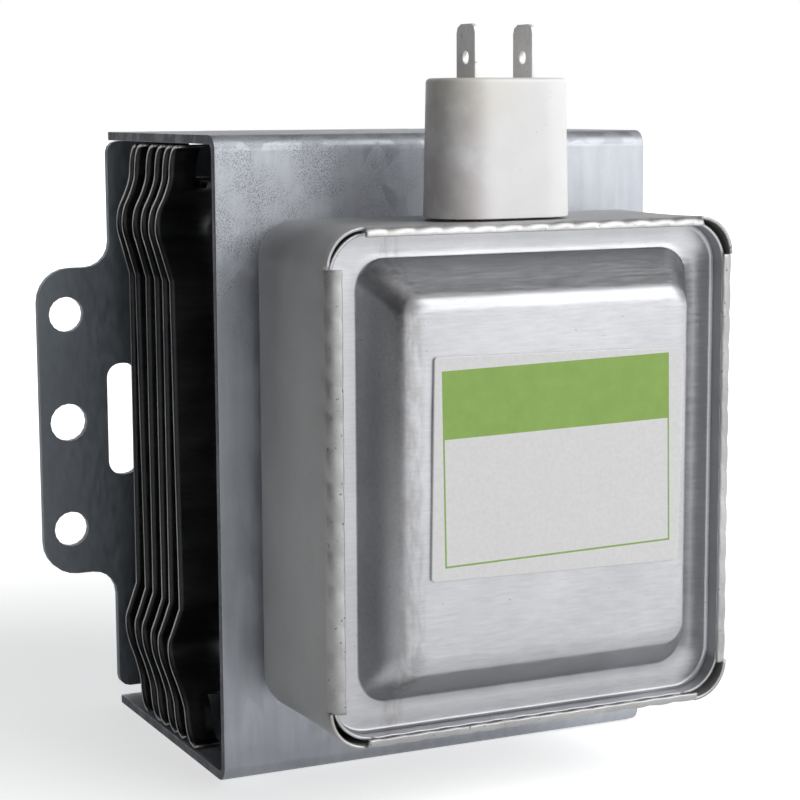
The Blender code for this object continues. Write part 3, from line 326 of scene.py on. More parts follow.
def label_material(centre):
    """White paper with a plain green band and a thin green frame under it."""
    s = Shader("label_print", 0.38, 0.0)
    moved = s.add("Mapping", {"Vector": s.place, "Location": tuple(-centre)}).outputs["Vector"]
    turned = s.add("VectorRotate", {"Vector": moved, "Angle": label_turn}, rotation_type="Y_AXIS")
    axes = s.add("SeparateXYZ", {"Vector": turned.outputs["Vector"]})
    x = s.math("ADD", axes.outputs["X"], label_print_shift)
    z = axes.outputs["Z"]
    half = label_print_half
    band_low = label_print_top - label_band_height

    def inside(value, low, high):
        return s.times(s.math("GREATER_THAN", value, low), s.math("LESS_THAN", value, high))

    across = inside(x, -half, half)
    band = s.times(across, inside(z, band_low, label_print_top))
    outer = s.times(across, inside(z, label_print_bottom, band_low))
    inner = s.times(inside(x, -half + label_frame_line, half - label_frame_line),
                    inside(z, label_print_bottom + label_frame_line, label_print_top))
    line = s.math("SUBTRACT", outer, inner, clamp=True)
    fibre = s.noise(0.6 * mm, 4.0)
    paper = s.ramp(fibre, (0.3, (0.70, 0.69, 0.69)), (0.7, (0.76, 0.75, 0.75)))
    green = s.ramp(s.noise(2.0 * mm, 3.0), (0.3, (0.232, 0.385, 0.070)), (0.7, (0.268, 0.430, 0.090)))
    colour = s.mix(s.math("MAXIMUM", band, line), paper, green)
    s.bump(fibre, 0.06, 0.02 * mm)
    return s.paint(colour, s.span(fibre, 0.3, 0.7, 0.34, 0.42))


def fin_material():
    """Sheet painted dark as the shade between the close-set fins, with faint rub marks; painted shade darkest
    on the wings.
    """
    s = Shader("fin_sheet", 0.45, 0.85)
    rub = s.noise(6 * mm, 5.0, 0.65, s.stretch(0.5, 1.0, 1.4))
    fine = s.noise(0.8 * mm, 4.0, 0.6, s.stretch(0.3, 1.0, 1.0))
    # Painted shade: the whole sheet is dark, standing for the shade between the fins.
    colour = s.ramp(rub, (0.35, (0.075, 0.077, 0.081)), (0.62, (0.13, 0.132, 0.138)),
                    (0.8, (0.21, 0.213, 0.22)))
    colour = s.mix(0.3, colour, s.ramp(fine, (0.3, (0.04, 0.04, 0.042)), (0.7, (0.17, 0.17, 0.178))))
    # Painted shade: the wings, in shadow between the fins, are darkened further.
    wing = s.span(s.math("ABSOLUTE", s.axis("X")), 27 * mm, 33 * mm)
    colour = s.mix(s.times(wing, 0.72), colour, (0.012, 0.012, 0.013))
    s.bump(fine, 0.2, 0.04 * mm)
    return s.paint(colour, s.span(rub, 0.3, 0.75, 0.36, 0.52))


def fin_edge_material():
    """The fins' sheared edges: brighter, slightly burred, and painted shade where they lie inside the yoke.
    """
    s = Shader("fin_edge", 0.38, 0.6)
    burr = s.noise(0.6 * mm, 4.0, 0.6)
    colour = s.ramp(burr, (0.3, (0.46, 0.46, 0.45)), (0.7, (0.66, 0.66, 0.65)))
    # Painted shade: edges inside the yoke, shaded by its walls, are darkened almost to black.
    inner = s.span(s.math("ABSOLUTE", s.axis("X")), 36.5 * mm, 38 * mm, 0.88, 0.0)
    colour = s.mix(inner, colour, (0.03, 0.03, 0.032))
    s.bump(burr, 0.4, 0.05 * mm)
    return s.paint(colour)


def copper_material():
    s = Shader("copper_metal", 0.32, 1.0)
    tarnish = s.noise(5 * mm, 5.0, 0.6)
    colour = s.ramp(tarnish, (0.3, (0.55, 0.27, 0.15)), (0.6, (0.80, 0.45, 0.29)),
                    (0.85, (0.62, 0.36, 0.20)))
    s.bump(s.noise(0.5 * mm, 3.0), 0.15, 0.03 * mm)
    return s.paint(colour, s.span(tarnish, 0.3, 0.7, 0.26, 0.42))


def ferrite_material():
    s = Shader("ferrite_grain", 0.55, 0.0)
    grain = s.noise(0.5 * mm, 5.0, 0.7)
    colour = s.ramp(grain, (0.3, (0.022, 0.022, 0.024)), (0.7, (0.055, 0.055, 0.058)))
    s.bump(grain, 0.4, 0.06 * mm)
    return s.paint(colour, s.span(grain, 0.3, 0.7, 0.48, 0.66))


def ceramic_material():
    s = Shader("alumina", 0.35, 0.0, {"Subsurface Weight": 0.08, "Subsurface Scale": 1.0 * mm})
    cloud = s.noise(3 * mm, 4.0)
    colour = s.ramp(cloud, (0.3, (0.74, 0.67, 0.63)), (0.7, (0.82, 0.76, 0.72)))
    s.bump(s.noise(0.3 * mm, 3.0), 0.1, 0.02 * mm)
    return s.paint(colour, s.span(cloud, 0.3, 0.7, 0.28, 0.42))


def knit_material():
    s = Shader("knit_wire", 0.35, 1.0)
    tone = s.noise(1.5 * mm, 3.0)
    return s.paint(s.ramp(tone, (0.3, (0.42, 0.40, 0.36)), (0.7, (0.66, 0.64, 0.60))))


zinc = zinc_material()
lid_metal = lid_material()
box_metal = sheet_metal("box_metal", 0.42, 0.48, 0.6, 0.35 * mm, pits=0.2)
# The lip's far right side is darkened as painted shade.
lip_metal = sheet_metal("lip_metal", 0.46, 0.45, 0.6, 0.7 * mm, variation=0.3, pits=0.85, warm=0.01,
                        painted_right_shade=0.7)
plate_metal = sheet_metal("plate_metal", 0.26, 0.42, 0.55, 0.8 * mm, warm=-0.10, streak=(1, 1, 0.3))
seal_metal = sheet_metal("seal_metal", 0.58, 0.3, 1.0, 0.4 * mm, streak=(1, 0.2, 1))
cap_metal = sheet_metal("cap_metal", 0.62, 0.34, 0.75, 0.3 * mm, variation=0.06, streak=(1, 0.15, 1))
tin_metal = sheet_metal("tin_metal", 0.92, 0.45, 0.15, 0.5 * mm, warm=0.02, pits=0.5, streak=(1, 1, 0.25))
tungsten_metal = sheet_metal("tungsten_metal", 0.32, 0.38, 1.0, 0.3 * mm)
resin = plastic_material()
fin_sheet = fin_material()
fin_edge = fin_edge_material()
copper = copper_material()
ferrite = ferrite_material()
alumina = ceramic_material()
knit = knit_material()

finishes = {
    "galvanised_steel": zinc, "dark_steel": plate_metal, "fin_aluminium": fin_sheet,
    "box_steel": box_metal, "lid_steel": lid_metal, "copper": copper, "ferrite": ferrite,
    "seal_metal": seal_metal, "alumina_ceramic": alumina, "tungsten": tungsten_metal,
    "cap_steel": cap_metal, "housing_plastic": resin, "tinned_brass": tin_metal, "knitted_wire": knit,
}


def piece(name, mesh, materials, replaced, degrees):
    """Adds a finished piece that stands for CAD nodes; an edge sharper than degrees stays hard."""
    obj = bpy.data.objects.new(name, mesh)
    bpy.context.scene.collection.objects.link(obj)
    for material in materials:
        mesh.materials.append(material)
    mesh.shade_smooth()
    mesh.set_sharp_from_angle(angle=math.radians(degrees))
    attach(obj, "root")
    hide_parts(*replaced)
    return obj


def to_mesh(name, bm):
    bmesh.ops.recalc_face_normals(bm, faces=bm.faces)
    mesh = bpy.data.meshes.new(name)
    bm.to_mesh(mesh)
    bm.free()
    return mesh


def thicken(obj, thickness, offset, rim_slot=0):
    """Makes a closed sheet of a surface; offset says on which side of it the sheet lies."""
    solid = obj.modifiers.new("sheet", "SOLIDIFY")
    solid.thickness = thickness
    solid.offset = offset
    solid.use_even_offset = False
    solid.material_offset_rim = rim_slot


def soften(obj, width):
    """Rounds the sharp edges a little, as on any real stamped or moulded part."""
    bevel = obj.modifiers.new("edges", "BEVEL")
    bevel.width = width
    bevel.segments = 2
    bevel.limit_method = "ANGLE"
    bevel.angle_limit = math.radians(35)
    bevel.harden_normals = False


def arc(cx, cy, radius, start, end, steps):
    """Points on an arc from start to end, in degrees."""
    return [(cx + radius * math.cos(math.radians(start + (end - start) * i / steps)),
             cy + radius * math.sin(math.radians(start + (end - start) * i / steps)))
            for i in range(steps + 1)]


def rounded_rectangle(half_x, half_y, radius, steps):
    """Points round a rectangle whose corners are arcs of so many steps."""
    points = []
    for sx, sy, start in ((1, -1, -90), (1, 1, 0), (-1, 1, 90), (-1, -1, 180)):
        points += arc(sx * (half_x - radius), sy * (half_y - radius), radius, start, start + 90, steps)
    return points


def skin(bm, loops, closed=True):
    """Faces between neighbouring loops of vertices."""
    count = len(loops[0])
    for lower, upper in zip(loops, loops[1:]):
        for i in range(count if closed else count - 1):
            j = (i + 1) % count
            bm.faces.new((lower[i], lower[j], upper[j], upper[i]))


def turned_mesh(name, profile, centre):
    """A turned body about an axis along Y; the profile's points are (radius, y), in order round it."""
    segments = 96
    bm = bmesh.new()
    rows = []
    for radius, y in profile:
        if radius < 1e-6:
            rows.append([bm.verts.new((centre[0], y, centre[1]))])
        else:
            rows.append([bm.verts.new((centre[0] + radius * math.cos(math.tau * i / segments), y,
                                       centre[1] + radius * math.sin(math.tau * i / segments)))
                         for i in range(segments)])
    pairs = list(zip(rows, rows[1:]))
    if len(rows[0]) > 1 and len(rows[-1]) > 1:
        pairs.append((rows[-1], rows[0]))
    for lower, upper in pairs:
        for i in range(segments):
            j = (i + 1) % segments
            if len(lower) == 1:
                bm.faces.new((lower[0], upper[j], upper[i]))
            elif len(upper) == 1:
                bm.faces.new((lower[i], lower[j], upper[0]))
            else:
                bm.faces.new((lower[i], lower[j], upper[j], upper[i]))
    return to_mesh(name, bm)


def box_of(node):
    """The low corner, the high corner and the middle of a CAD node's box."""
    low, high = map(Vector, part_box(node))
    return low, high, (low + high) / 2


# Filter box
Column = namedtuple("Column", "x z nx nz fold depth phase")


def can_half():
    """Half of the can's width and height."""
    low, high, _ = box_of("filter_box")
    return Vector(((high.x - low.x) / 2, (high.z - low.z) / 2))


def rim_columns(half, radius, samples):
    """Columns round a rounded rectangle, samples for each wave of the crimp; its corners have no fold."""
    full = can_half()
    corner_steps = 14
    columns = []
    for quarter in range(4):
        out = Vector((round(math.cos(quarter * math.pi / 2)), round(math.sin(quarter * math.pi / 2))))
        side = Vector((-out.y, out.x))
        if quarter % 2 == 0:
            width, run, folded = half.x, half.y, full.y - can_corner
            fold, depth, pitch = side_fold, side_crimp, side_pitch
        else:
            width, run, folded = half.y, half.x, full.x - can_corner
            fold, depth, pitch = end_fold, end_crimp, end_pitch
        waves = round(2 * folded / pitch)
        count = waves * samples
        reach = run - radius
        for i in range(count + 1):
            s = reach * (2 * i / count - 1)
            p = out * width + side * s
            columns.append(Column(p.x, p.y, out.x, out.y, fold, depth, waves * (s + folded) / (2 * folded)))
        for i in range(corner_steps + 1):
            a = math.pi / 2 * (quarter + i / corner_steps)
            p = out * (width - radius) + side * reach + Vector((math.cos(a), math.sin(a))) * radius
            columns.append(Column(p.x, p.y, math.cos(a), math.sin(a), 0.0, 0.0, 0.0))
    return columns


def crimp(phase, along):
    """Height of the crimp's ridges above their middle, in parts of its depth; along runs over the fold."""
    return abs(math.sin(math.pi * (phase + crimp_slant * along))) - 0.65


def filter_box():
    """Drawn can: soft back edge, slightly uneven walls, rim rolled in with slanted tool marks."""
    low, high, centre = box_of("filter_box")
    columns = rim_columns(can_half(), can_corner, 12)
    fold_start = low.y + side_fold
    wall_start = high.y - can_back_radius
    back_steps = 8
    wall_steps = 6
    lip_steps = 10
    uneven = 0.12 * mm
    lip_rough = 0.05 * mm
    roll_turn = math.radians(96)
    bm = bmesh.new()

    def vert(column, inset, y):
        x = centre.x + column.x - column.nx * inset
        z = centre.z + column.z - column.nz * inset
        return bm.verts.new((x, y, z))

    loops = []
    for i in range(back_steps + 1):
        a = math.pi / 2 * i / back_steps
        inset = can_back_radius * (1 - math.sin(a))
        y = high.y - can_back_radius * (1 - math.cos(a))
        loops.append([vert(c, inset, y) for c in columns])
    for i in range(1, wall_steps + 1):
        y = wall_start + (fold_start - wall_start) * i / wall_steps
        hollow = uneven * math.sin(math.pi * i / wall_steps)
        loops.append([vert(c, hollow * (1 - noise.noise(Vector((c.x, y, c.z)) * 45)), y) for c in columns])
    skin(bm, loops)
    bm.faces.new(loops[0])
    lips = []
    for column in columns:
        fold = column.fold
        lip = []
        for level in range(1, lip_steps + 1):
            along = level / lip_steps
            if fold == 0.0:
                lip.append(vert(column, 0.0, fold_start - (side_fold - corner_edge_drop) * along))
                continue
            a = roll_turn * along
            press = column.depth * crimp(column.phase, along) * min(3 * along, 1.0)
            press += lip_rough * noise.noise(Vector((column.x, column.z, along * 0.004)) * 260)
            y = low.y + fold * (1 - math.sin(a)) - press * math.sin(a)
            y += (fold_start - low.y - fold) * max(0.0, 1 - 2.5 * along)
            lip.append(vert(column, fold * (1 - math.cos(a)) - press * math.cos(a), y))
        lips.append(lip)
    wall = loops[-1]
    for i, column in enumerate(columns):
        j = (i + 1) % len(columns)
        if column.fold == columns[j].fold:
            rows = [[wall[i], wall[j]]]
            rows += [[lips[i][level], lips[j][level]] for level in range(lip_steps)]
            skin(bm, rows, closed=False)
    bmesh.ops.remove_doubles(bm, verts=[v for loop in loops for v in loop], dist=1e-7)
    can = piece("filter_box_drawn", to_mesh("filter_box_drawn", bm), [box_metal, lip_metal],
                ["filter_box"], 50)
    for polygon in can.data.polygons:
        if polygon.center.y < fold_start - 0.1 * mm:
            polygon.material_index = 1
    thicken(can, drawn_sheet, -1)


# Lid
def lid_rows(panel_y, rim_inset):
    """Each loop from the rim to the panel: inset from the can's side, corner radius, y, rise and crimp."""
    flange_y = panel_y + lid_panel_height
    rim_y = flange_y - lid_rim_height
    rim = Vector((rim_inset, rim_inset))
    bend_start = flange_y - lid_bend
    rows = [(rim, lid_corner, rim_y + (bend_start - rim_y) * t, 0.0, (1 - t) ** 0.6)
            for t in (0.0, 0.06, 0.25, 0.45, 0.65, 0.85, 1.0)]
    for degrees in (20, 40, 60, 80, 90):
        a = math.radians(degrees)
        step = lid_bend * (1 - math.cos(a))
        inset = rim + Vector((step, step))
        rows.append((inset, lid_corner - step, bend_start + lid_bend * math.sin(a), 0.0, 0.0))
    crease = 0.5 * mm
    start, radius = rows[-1][:2]
    goal = foot_inset - Vector((crease, crease))
    for t in (0.3, 0.65, 1.0):
        corner_radius = radius + (foot_radius + crease - radius) * t
        rows.append((start.lerp(goal, t), corner_radius, flange_y, panel_rise * t, 0.0))
    run = edge_inset - foot_inset
    rise = lid_panel_height - crease - shoulder
    for t in (0.5, 1.0):
        rows.append((goal + Vector((crease, crease)) * t, foot_radius + crease * (1 - t),
                     flange_y - crease * t * t, panel_rise, 0.0))
    for t in (0.2, 0.4, 0.6, 0.8, 1.0):
        rows.append((foot_inset + run * t, foot_radius + (edge_radius - foot_radius) * t,
                     flange_y - crease - rise * t, panel_rise, 0.0))
    corner = edge_inset + run * (shoulder / rise)
    end = edge_inset + Vector((shoulder, shoulder)) * 2.2
    shoulder_steps = 10
    for i in range(1, shoulder_steps + 1):
        t = i / shoulder_steps
        inset = edge_inset * (1 - t) ** 2 + corner * 2 * t * (1 - t) + end * t * t
        y = panel_y + shoulder * (1 - t) ** 2
        rows.append((inset, edge_radius - 0.6 * shoulder * t, y, panel_rise, 0.0))
    for further, radius in ((2.5, 2.6), (6.0, 2.3), (11.0, 2.0), (16.0, 1.5)):
        step = further * mm
        rows.append((end + Vector((step, step)), radius * mm, panel_y, panel_rise, 0.0))
    return rows


def filter_lid():
    """Pressed pan: rim wall with the crimp's marks, flange, slopes and a slightly uneven raised panel."""
    low, high, centre = box_of("filter_lid")
    centre += Vector((lid_offset.x, 0.0, lid_offset.y))
    can = can_half()
    rim_inset = can.x - (high.x - low.x) / 2 + drawn_sheet
    bm = bmesh.new()
    loops = []
    for inset, radius, y, rise, pressed in lid_rows(low.y, rim_inset):
        loop = []
        on_panel = inset.x > edge_inset.x + 2 * shoulder
        for column in rim_columns(can - inset, radius, 8):
            dent = 0.45 * column.depth * crimp(column.phase, 1 - pressed) * pressed
            sag = 0.05 * mm * noise.noise(Vector((column.x, column.z, 7.0)) * 160)
            if on_panel:
                sag += 0.10 * mm * noise.noise(Vector((column.x, column.z, 1.0)) * 55)
            loop.append(bm.verts.new((centre.x + column.x + column.nx * dent, max(y + sag, low.y),
                                      centre.z + column.z + column.nz * dent + rise)))
        loops.append(loop)
    skin(bm, loops)
    bmesh.ops.remove_doubles(bm, verts=bm.verts, dist=1e-7)
    bm.faces.new([v for v in loops[-1] if v.is_valid])
    mesh = to_mesh("filter_lid_pressed", bm)
    lid = piece("filter_lid_pressed", mesh, [lid_metal], ["filter_lid"], 60)
    thicken(lid, drawn_sheet, 1)


def label():
    """Sticker turned a little on the panel, from the lid's surface to just above it."""
    low, _, centre = box_of("label_sticker")
    centre += label_shift
    half = label_size / 2
    back = box_of("filter_lid")[0].y - 0.02 * mm
    edge = 0.05 * mm
    turn_x = math.cos(label_turn)
    turn_z = math.sin(label_turn)
    bm = bmesh.new()
    loops = []
    for inset, y in ((0.0, back), (0.0, low.y + edge), (0.08 * mm, low.y)):
        loop = []
        for x, z in rounded_rectangle(half.x - inset, half.y - inset, 0.6 * mm - inset, 5):
            loop.append(bm.verts.new((centre.x + x * turn_x + z * turn_z, y,
                                      centre.z - x * turn_z + z * turn_x)))
        loops.append(loop)
    skin(bm, loops)
    bm.faces.new(loops[-1])
    bm.faces.new(loops[0])
    piece("label_printed", to_mesh("label_printed", bm), [label_material(centre)],
          ["label_sticker"], 30)


# Cooling fins
def fin_edge_line(foot, rise):
    """Half of a fin's edge, from the flat middle to the foot: a smooth line of (height, station)."""
    # In mm, where the line passes
    heel = 2.6
    knots = [(27.3, 0.0), (30.1, 2.35), (32.6, 4.5), (34.2, 5.9), (35.6, 6.35), (37.2, 6.0), (38.9, 4.7),
             (41.2, 1.6), (43.8, -0.9), (rise - 3.2, -1.55), (rise - 1.5, -heel + 0.35),
             (rise - 0.45, -heel - 0.75), (rise - 0.1, -heel - 1.9), (rise, -foot)]
    points = []
    for i in range(len(knots) - 1):
        p0 = Vector(knots[max(i - 1, 0)])
        p1 = Vector(knots[i])
        p2 = Vector(knots[i + 1])
        p3 = Vector(knots[min(i + 2, len(knots) - 1)])
        for step in range(4):
            t = step / 4
            a = 2 * p1
            b = p2 - p0
            c = 2 * p0 - 5 * p1 + 4 * p2 - p3
            d = 3 * p1 - p0 - 3 * p2 + p3
            p = 0.5 * (a + b * t + c * t * t + d * t * t * t)
            points.append((p.x * mm, p.y * mm))
    points.append((knots[-1][0] * mm, knots[-1][1] * mm))
    return points


def cooling_fin(number, middle, wing, lean, foot_length):
    """Pressed sheet: flat middle, wings that step back, a wave above and below, and four curled feet."""
    low, high, centre = box_of(f"cooling_fin_{number}")
    half = (high.x - low.x) / 2
    upper = fin_edge_line(foot_length, ((high.z - low.z) / 2 - 0.3 * mm) / mm)
    levels = (-26.0, -20.0, -13.0, -6.5, 0.0, 6.5, 13.0, 20.0, 26.0)
    rows = [(-height, station) for height, station in reversed(upper)]
    rows += [(z * mm, 0.0) for z in levels] + upper
    foot = half - 4.6 * mm           # the feet are the strips outside this; between them the sheet ends lower
    columns = [-half, -half + 0.9 * mm, -half + 2.4 * mm, -foot]
    columns += [-x * mm for x in (31.6, 29.6, 28.7, 27.3, 26.2, 25.0, 20, 10)] + [0.0]
    columns += [-x for x in reversed(columns[:-1])]
    step_start = 26.0 * mm
    step_width = 3.5 * mm
    uneven = 0.18 * mm
    bm = bmesh.new()
    grid = []
    for x in columns:
        across = min(max((abs(x) - step_start) / step_width, 0.0), 1.0)
        blend = across * across * (3 - 2 * across)
        line = []
        for height, station in rows:
            base = middle + (wing + lean * height - middle) * blend
            warp = uneven * noise.noise(Vector((x * 18, height * 30, number * 3.7)))
            line.append(bm.verts.new((x, base + station + warp * blend, centre.z + height)))
        grid.append(line)
    notch = 44.3 * mm
    notch_corner = 1.2 * mm
    for c in range(len(columns) - 1):
        outside = max(abs(columns[c]), abs(columns[c + 1])) > foot + 1e-6
        beside_notch = abs(abs((columns[c] + columns[c + 1]) / 2) - foot) < notch_corner
        limit = notch - notch_corner if beside_notch else notch
        for r in range(len(rows) - 1):
            top = max(abs(rows[r][0]), abs(rows[r + 1][0]))
            if outside or top <= limit:
                bm.faces.new((grid[c][r], grid[c + 1][r], grid[c + 1][r + 1], grid[c][r + 1]))
    bmesh.ops.delete(bm, geom=[v for v in bm.verts if not v.link_faces], context="VERTS")
    name = f"fin_{number}_pressed"
    materials = [fin_sheet, fin_edge]
    fin = piece(name, to_mesh(name, bm), materials, [f"cooling_fin_{number}"], 60)
    thicken(fin, fin_visible_sheet, 0, rim_slot=1)


def cooling_fins():
    """The six fins, from the rear one to the one nearest the filter box."""
    yoke_front = box_of("yoke_frame")[0].y
    for index, (wing, lean, foot_length) in enumerate(fin_wings):
        middle = yoke_front + rear_fin_station - index * fin_pitch
        cooling_fin(index + 1, middle, yoke_front + wing * mm, lean, foot_length)


# Feed-through housing and tabs
def capacitor_housing():
    """Moulded housing with round ends: slight taper, soft upper edge, sunk top, a small dent in its front."""
    low, high, centre = box_of("capacitor_housing")
    length = high.x - low.x - 0.5 * mm
    width = high.y - low.y
    radius = width / 2 - 0.5 * mm
    taper = 0.9 * mm
    edge = 0.7 * mm
    foot = 0.1 * mm
    wall_steps = 8
    dent_x = centre.x + 3.4 * mm
    dent_z = low.z + 5 * mm
    dent_depth = 0.22 * mm
    dent_width = 0.45 * mm
    dent_height = 1.6 * mm
    rows = [(foot, low.z), (0.0, low.z + foot)]
    for i in range(1, wall_steps + 1):
        t = i / wall_steps
        rows.append((taper / 2 * t, low.z + foot + (high.z - edge - low.z - foot) * t))
    for angle in (15, 30, 45, 60, 75, 90):
        a = math.radians(angle)
        rows.append((taper / 2 + edge * (1 - math.cos(a)), high.z - edge + edge * math.sin(a)))
    top = taper / 2 + edge
    rows += [(top + 1.4 * mm, high.z), (top + 1.7 * mm, high.z - 0.18 * mm)]
    rows += [(top + 3.0 * mm, high.z - 0.2 * mm)]
    bm = bmesh.new()
    loops = []
    for inset, z in rows:
        sunk = dent_depth * math.exp(-((z - dent_z) / dent_height) ** 2)
        loop = []
        for along, across in rounded_rectangle(length / 2 - inset, width / 2 - inset, radius - inset, 14):
            x = centre.x + along
            dent = sunk * math.exp(-((x - dent_x) / dent_width) ** 2) if across < 0 else 0.0
            loop.append(bm.verts.new((x, centre.y + across + dent, z)))
        loops.append(loop)
    skin(bm, loops)
    bm.faces.new(loops[-1])
    bm.faces.new(loops[0])
    mesh = to_mesh("capacitor_housing_moulded", bm)
    piece("capacitor_housing_moulded", mesh, [resin], ["capacitor_housing"], 45)


def spade_terminal(name):
    """Flat tab with clipped corners, a round hole and coined edges, drawn as a filled curve on its side."""
    low, high, centre = box_of(f"spade_terminal_{name}")
    bevel = 0.09 * mm
    thickness = 0.7 * mm
    clip = 1.3 * mm
    clip_side = 0.35 * mm
    clip_drop = 0.45 * mm
    base = box_of("capacitor_housing")[1].z - 0.6 * mm
    edge = (high.y - low.y) / 2 - bevel
    top = high.z - bevel
    outline = [(-edge, base), (edge, base), (edge, top - clip)]
    outline += [(edge - clip_side, top - clip_drop), (edge - clip, top)]
    outline += [(-edge + clip, top), (-edge + clip_side, top - clip_drop), (-edge, top - clip)]
    hole_radius = 1.0 * mm + bevel
    hole_height = high.z - 5.0 * mm
    hole_turns = [math.tau * i / 32 for i in range(32)]
    hole = [(hole_radius * math.cos(a), hole_height + hole_radius * math.sin(a)) for a in hole_turns]
    curve = bpy.data.curves.new(f"tab_{name}", "CURVE")
    curve.dimensions = "2D"
    curve.fill_mode = "BOTH"
    curve.extrude = thickness / 2 - bevel
    curve.bevel_depth = bevel
    curve.bevel_resolution = 2
    for points in (outline, hole):
        spline = curve.splines.new("POLY")
        spline.points.add(len(points) - 1)
        for target, (u, v) in zip(spline.points, points):
            target.co = (u, v, 0, 1)
        spline.use_cyclic_u = True
    scratch = bpy.data.objects.new(f"tab_{name}", curve)
    bpy.context.scene.collection.objects.link(scratch)
    bpy.context.view_layer.update()
    mesh = bpy.data.meshes.new_from_object(scratch.evaluated_get(bpy.context.evaluated_depsgraph_get()))
    bpy.data.objects.remove(scratch)
    mesh.transform(Matrix(((0, 0, 1, centre.x), (1, 0, 0, centre.y), (0, 1, 0, 0), (0, 0, 0, 1))))
    mesh.name = f"tab_{name}"
    piece(f"spade_tab_{name}", mesh, [tin_metal], [f"spade_terminal_{name}"], 40)


# Turned pieces
def ring_profile(inner, outer, start, end, edge):
    """A ring's section with small round edges."""
    knee = edge * 0.3
    return [(inner, end - edge), (inner + edge, end), (outer - edge, end), (outer - knee, end - knee),
            (outer, end - edge), (outer, start + edge), (outer - knee, start + knee),
            (outer - edge, start), (inner + edge, start), (inner, start + edge)]


def rings():
    """Magnets, anode and the antenna's ceramic, each turned with soft edges."""
    axis = box_of("anode_cylinder")[2]
    for node, inner, edge, material, slot in (
            ("input_magnet", 10.0 * mm, 0.5 * mm, ferrite, "ferrite"),
            ("output_magnet", 10.0 * mm, 0.5 * mm, ferrite, "ferrite"),
            ("anode_cylinder", 17.0 * mm, 0.3 * mm, copper, "copper"),
            ("antenna_ceramic", 4.2 * mm, 0.3 * mm, alumina, "alumina_ceramic")):
        low, high, _ = box_of(node)
        profile = ring_profile(inner, (high.x - low.x) / 2, low.y, high.y, edge)
        mesh = turned_mesh(f"{node}_turned", profile, (axis.x, axis.z))
        piece(f"{node}_turned", mesh, [material], [node], 50)


def antenna_cap():
    """Drawn cap with a rounded crown and a rolled open edge."""
    low, high, axis = box_of("antenna_cap")
    outer = (high.x - low.x) / 2
    inner = outer - drawn_sheet
    waist = outer - 0.12 * mm
    crown = 2.2 * mm
    dimple = 0.35 * mm
    bead = 0.15 * mm
    profile = [(0.0, high.y - dimple), (outer * 0.35, high.y - 0.3 * mm), (outer * 0.6, high.y)]
    profile += arc(outer - crown, high.y - crown, crown, 90, 0, 10)
    profile += [(waist, low.y + 5 * mm), (waist, low.y + 1.2 * mm), (outer, low.y + 0.6 * mm)]
    profile += [(outer, low.y + bead), (outer - bead, low.y), (inner, low.y), (inner, high.y - crown)]
    profile += arc(outer - crown, high.y - crown, crown - drawn_sheet, 0, 90, 6)[1:]
    profile += [(0.0, high.y - dimple - drawn_sheet)]
    mesh = turned_mesh("antenna_cap_drawn", profile, (axis.x, axis.z))
    piece("antenna_cap_drawn", mesh, [cap_metal], ["antenna_cap"], 40)


def output_seal():
    """Drawn cup whose neck holds the antenna's ceramic."""
    low, high, axis = box_of("output_seal")
    outer = (high.x - low.x) / 2
    neck = 5.6 * mm
    bend = 1.1 * mm
    profile = [(neck, high.y - drawn_sheet), (neck, high.y)]
    profile += arc(outer - bend, high.y - bend, bend, 90, 0, 8)
    profile += [(outer, low.y), (outer - drawn_sheet, low.y)]
    profile += arc(outer - bend, high.y - bend, bend - drawn_sheet, 0, 90, 8)
    mesh = turned_mesh("output_seal_drawn", profile, (axis.x, axis.z))
    piece("output_seal_drawn", mesh, [seal_metal], ["output_seal"], 40)


def rf_gasket():
    """Knitted wire ring: crossing helices wound round a soft core."""
    low, high, axis = box_of("rf_gasket")
    depth = (high.y - low.y) / 2
    width = 2.1 * mm
    wire = 0.11 * mm
    core_inset = 0.35 * mm
    strands = 6
    turns = 37
    samples = turns * 10
    core_sides = 24
    ring_radius = (high.x - low.x) / 2 - width
    curve = bpy.data.curves.new("gasket_wire", "CURVE")
    curve.dimensions = "3D"
    curve.bevel_depth = wire
    curve.bevel_resolution = 1
    for strand in range(strands):
        for direction in (-1, 1):
            spline = curve.splines.new("POLY")
            spline.points.add(samples - 1)
            for i, point in enumerate(spline.points):
                around = math.tau * i / samples
                spin = direction * turns * around + math.tau * strand / strands
                lift = 1.0 - wire / width - 0.04 * math.sin(5 * spin + strand)
                radius = ring_radius + width * lift * math.cos(spin)
                y = axis.y + (depth - wire) * lift * math.sin(spin)
                point.co = (axis.x + radius * math.cos(around), y, axis.z + radius * math.sin(around), 1)
            spline.use_cyclic_u = True
    obj = bpy.data.objects.new("gasket_knit", curve)
    bpy.context.scene.collection.objects.link(obj)
    curve.materials.append(knit)
    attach(obj, "root")
    core = [(ring_radius + (width - core_inset) * math.cos(math.tau * i / core_sides),
             axis.y - (depth - core_inset) * math.sin(math.tau * i / core_sides)) for i in range(core_sides)]
    mesh = turned_mesh("gasket_core", core, (axis.x, axis.z))
    piece("gasket_core", mesh, [seal_metal], ["rf_gasket"], 60)


def dress_cad_nodes():
    """Every CAD node that stays gets its material, welded edges and a small edge radius."""
    slots = {entry["node"]: entry["material_slot"] for entry in frame["record"]["subparts"]}
    radii = {"yoke_frame": 0.22 * mm, "mounting_plate": 0.22 * mm}
    for name, node in frame["nodes"].items():
        if name not in slots or slots[name] not in finishes:
            continue
        node.data.materials.clear()
        node.data.materials.append(finishes[slots[name]])
        weld = node.modifiers.new("weld", "WELD")
        weld.merge_threshold = 1e-6
        soften(node, radii.get(name, 0.08 * mm))
        node.modifiers.new("shading", "WEIGHTED_NORMAL")
        node.data.shade_smooth()


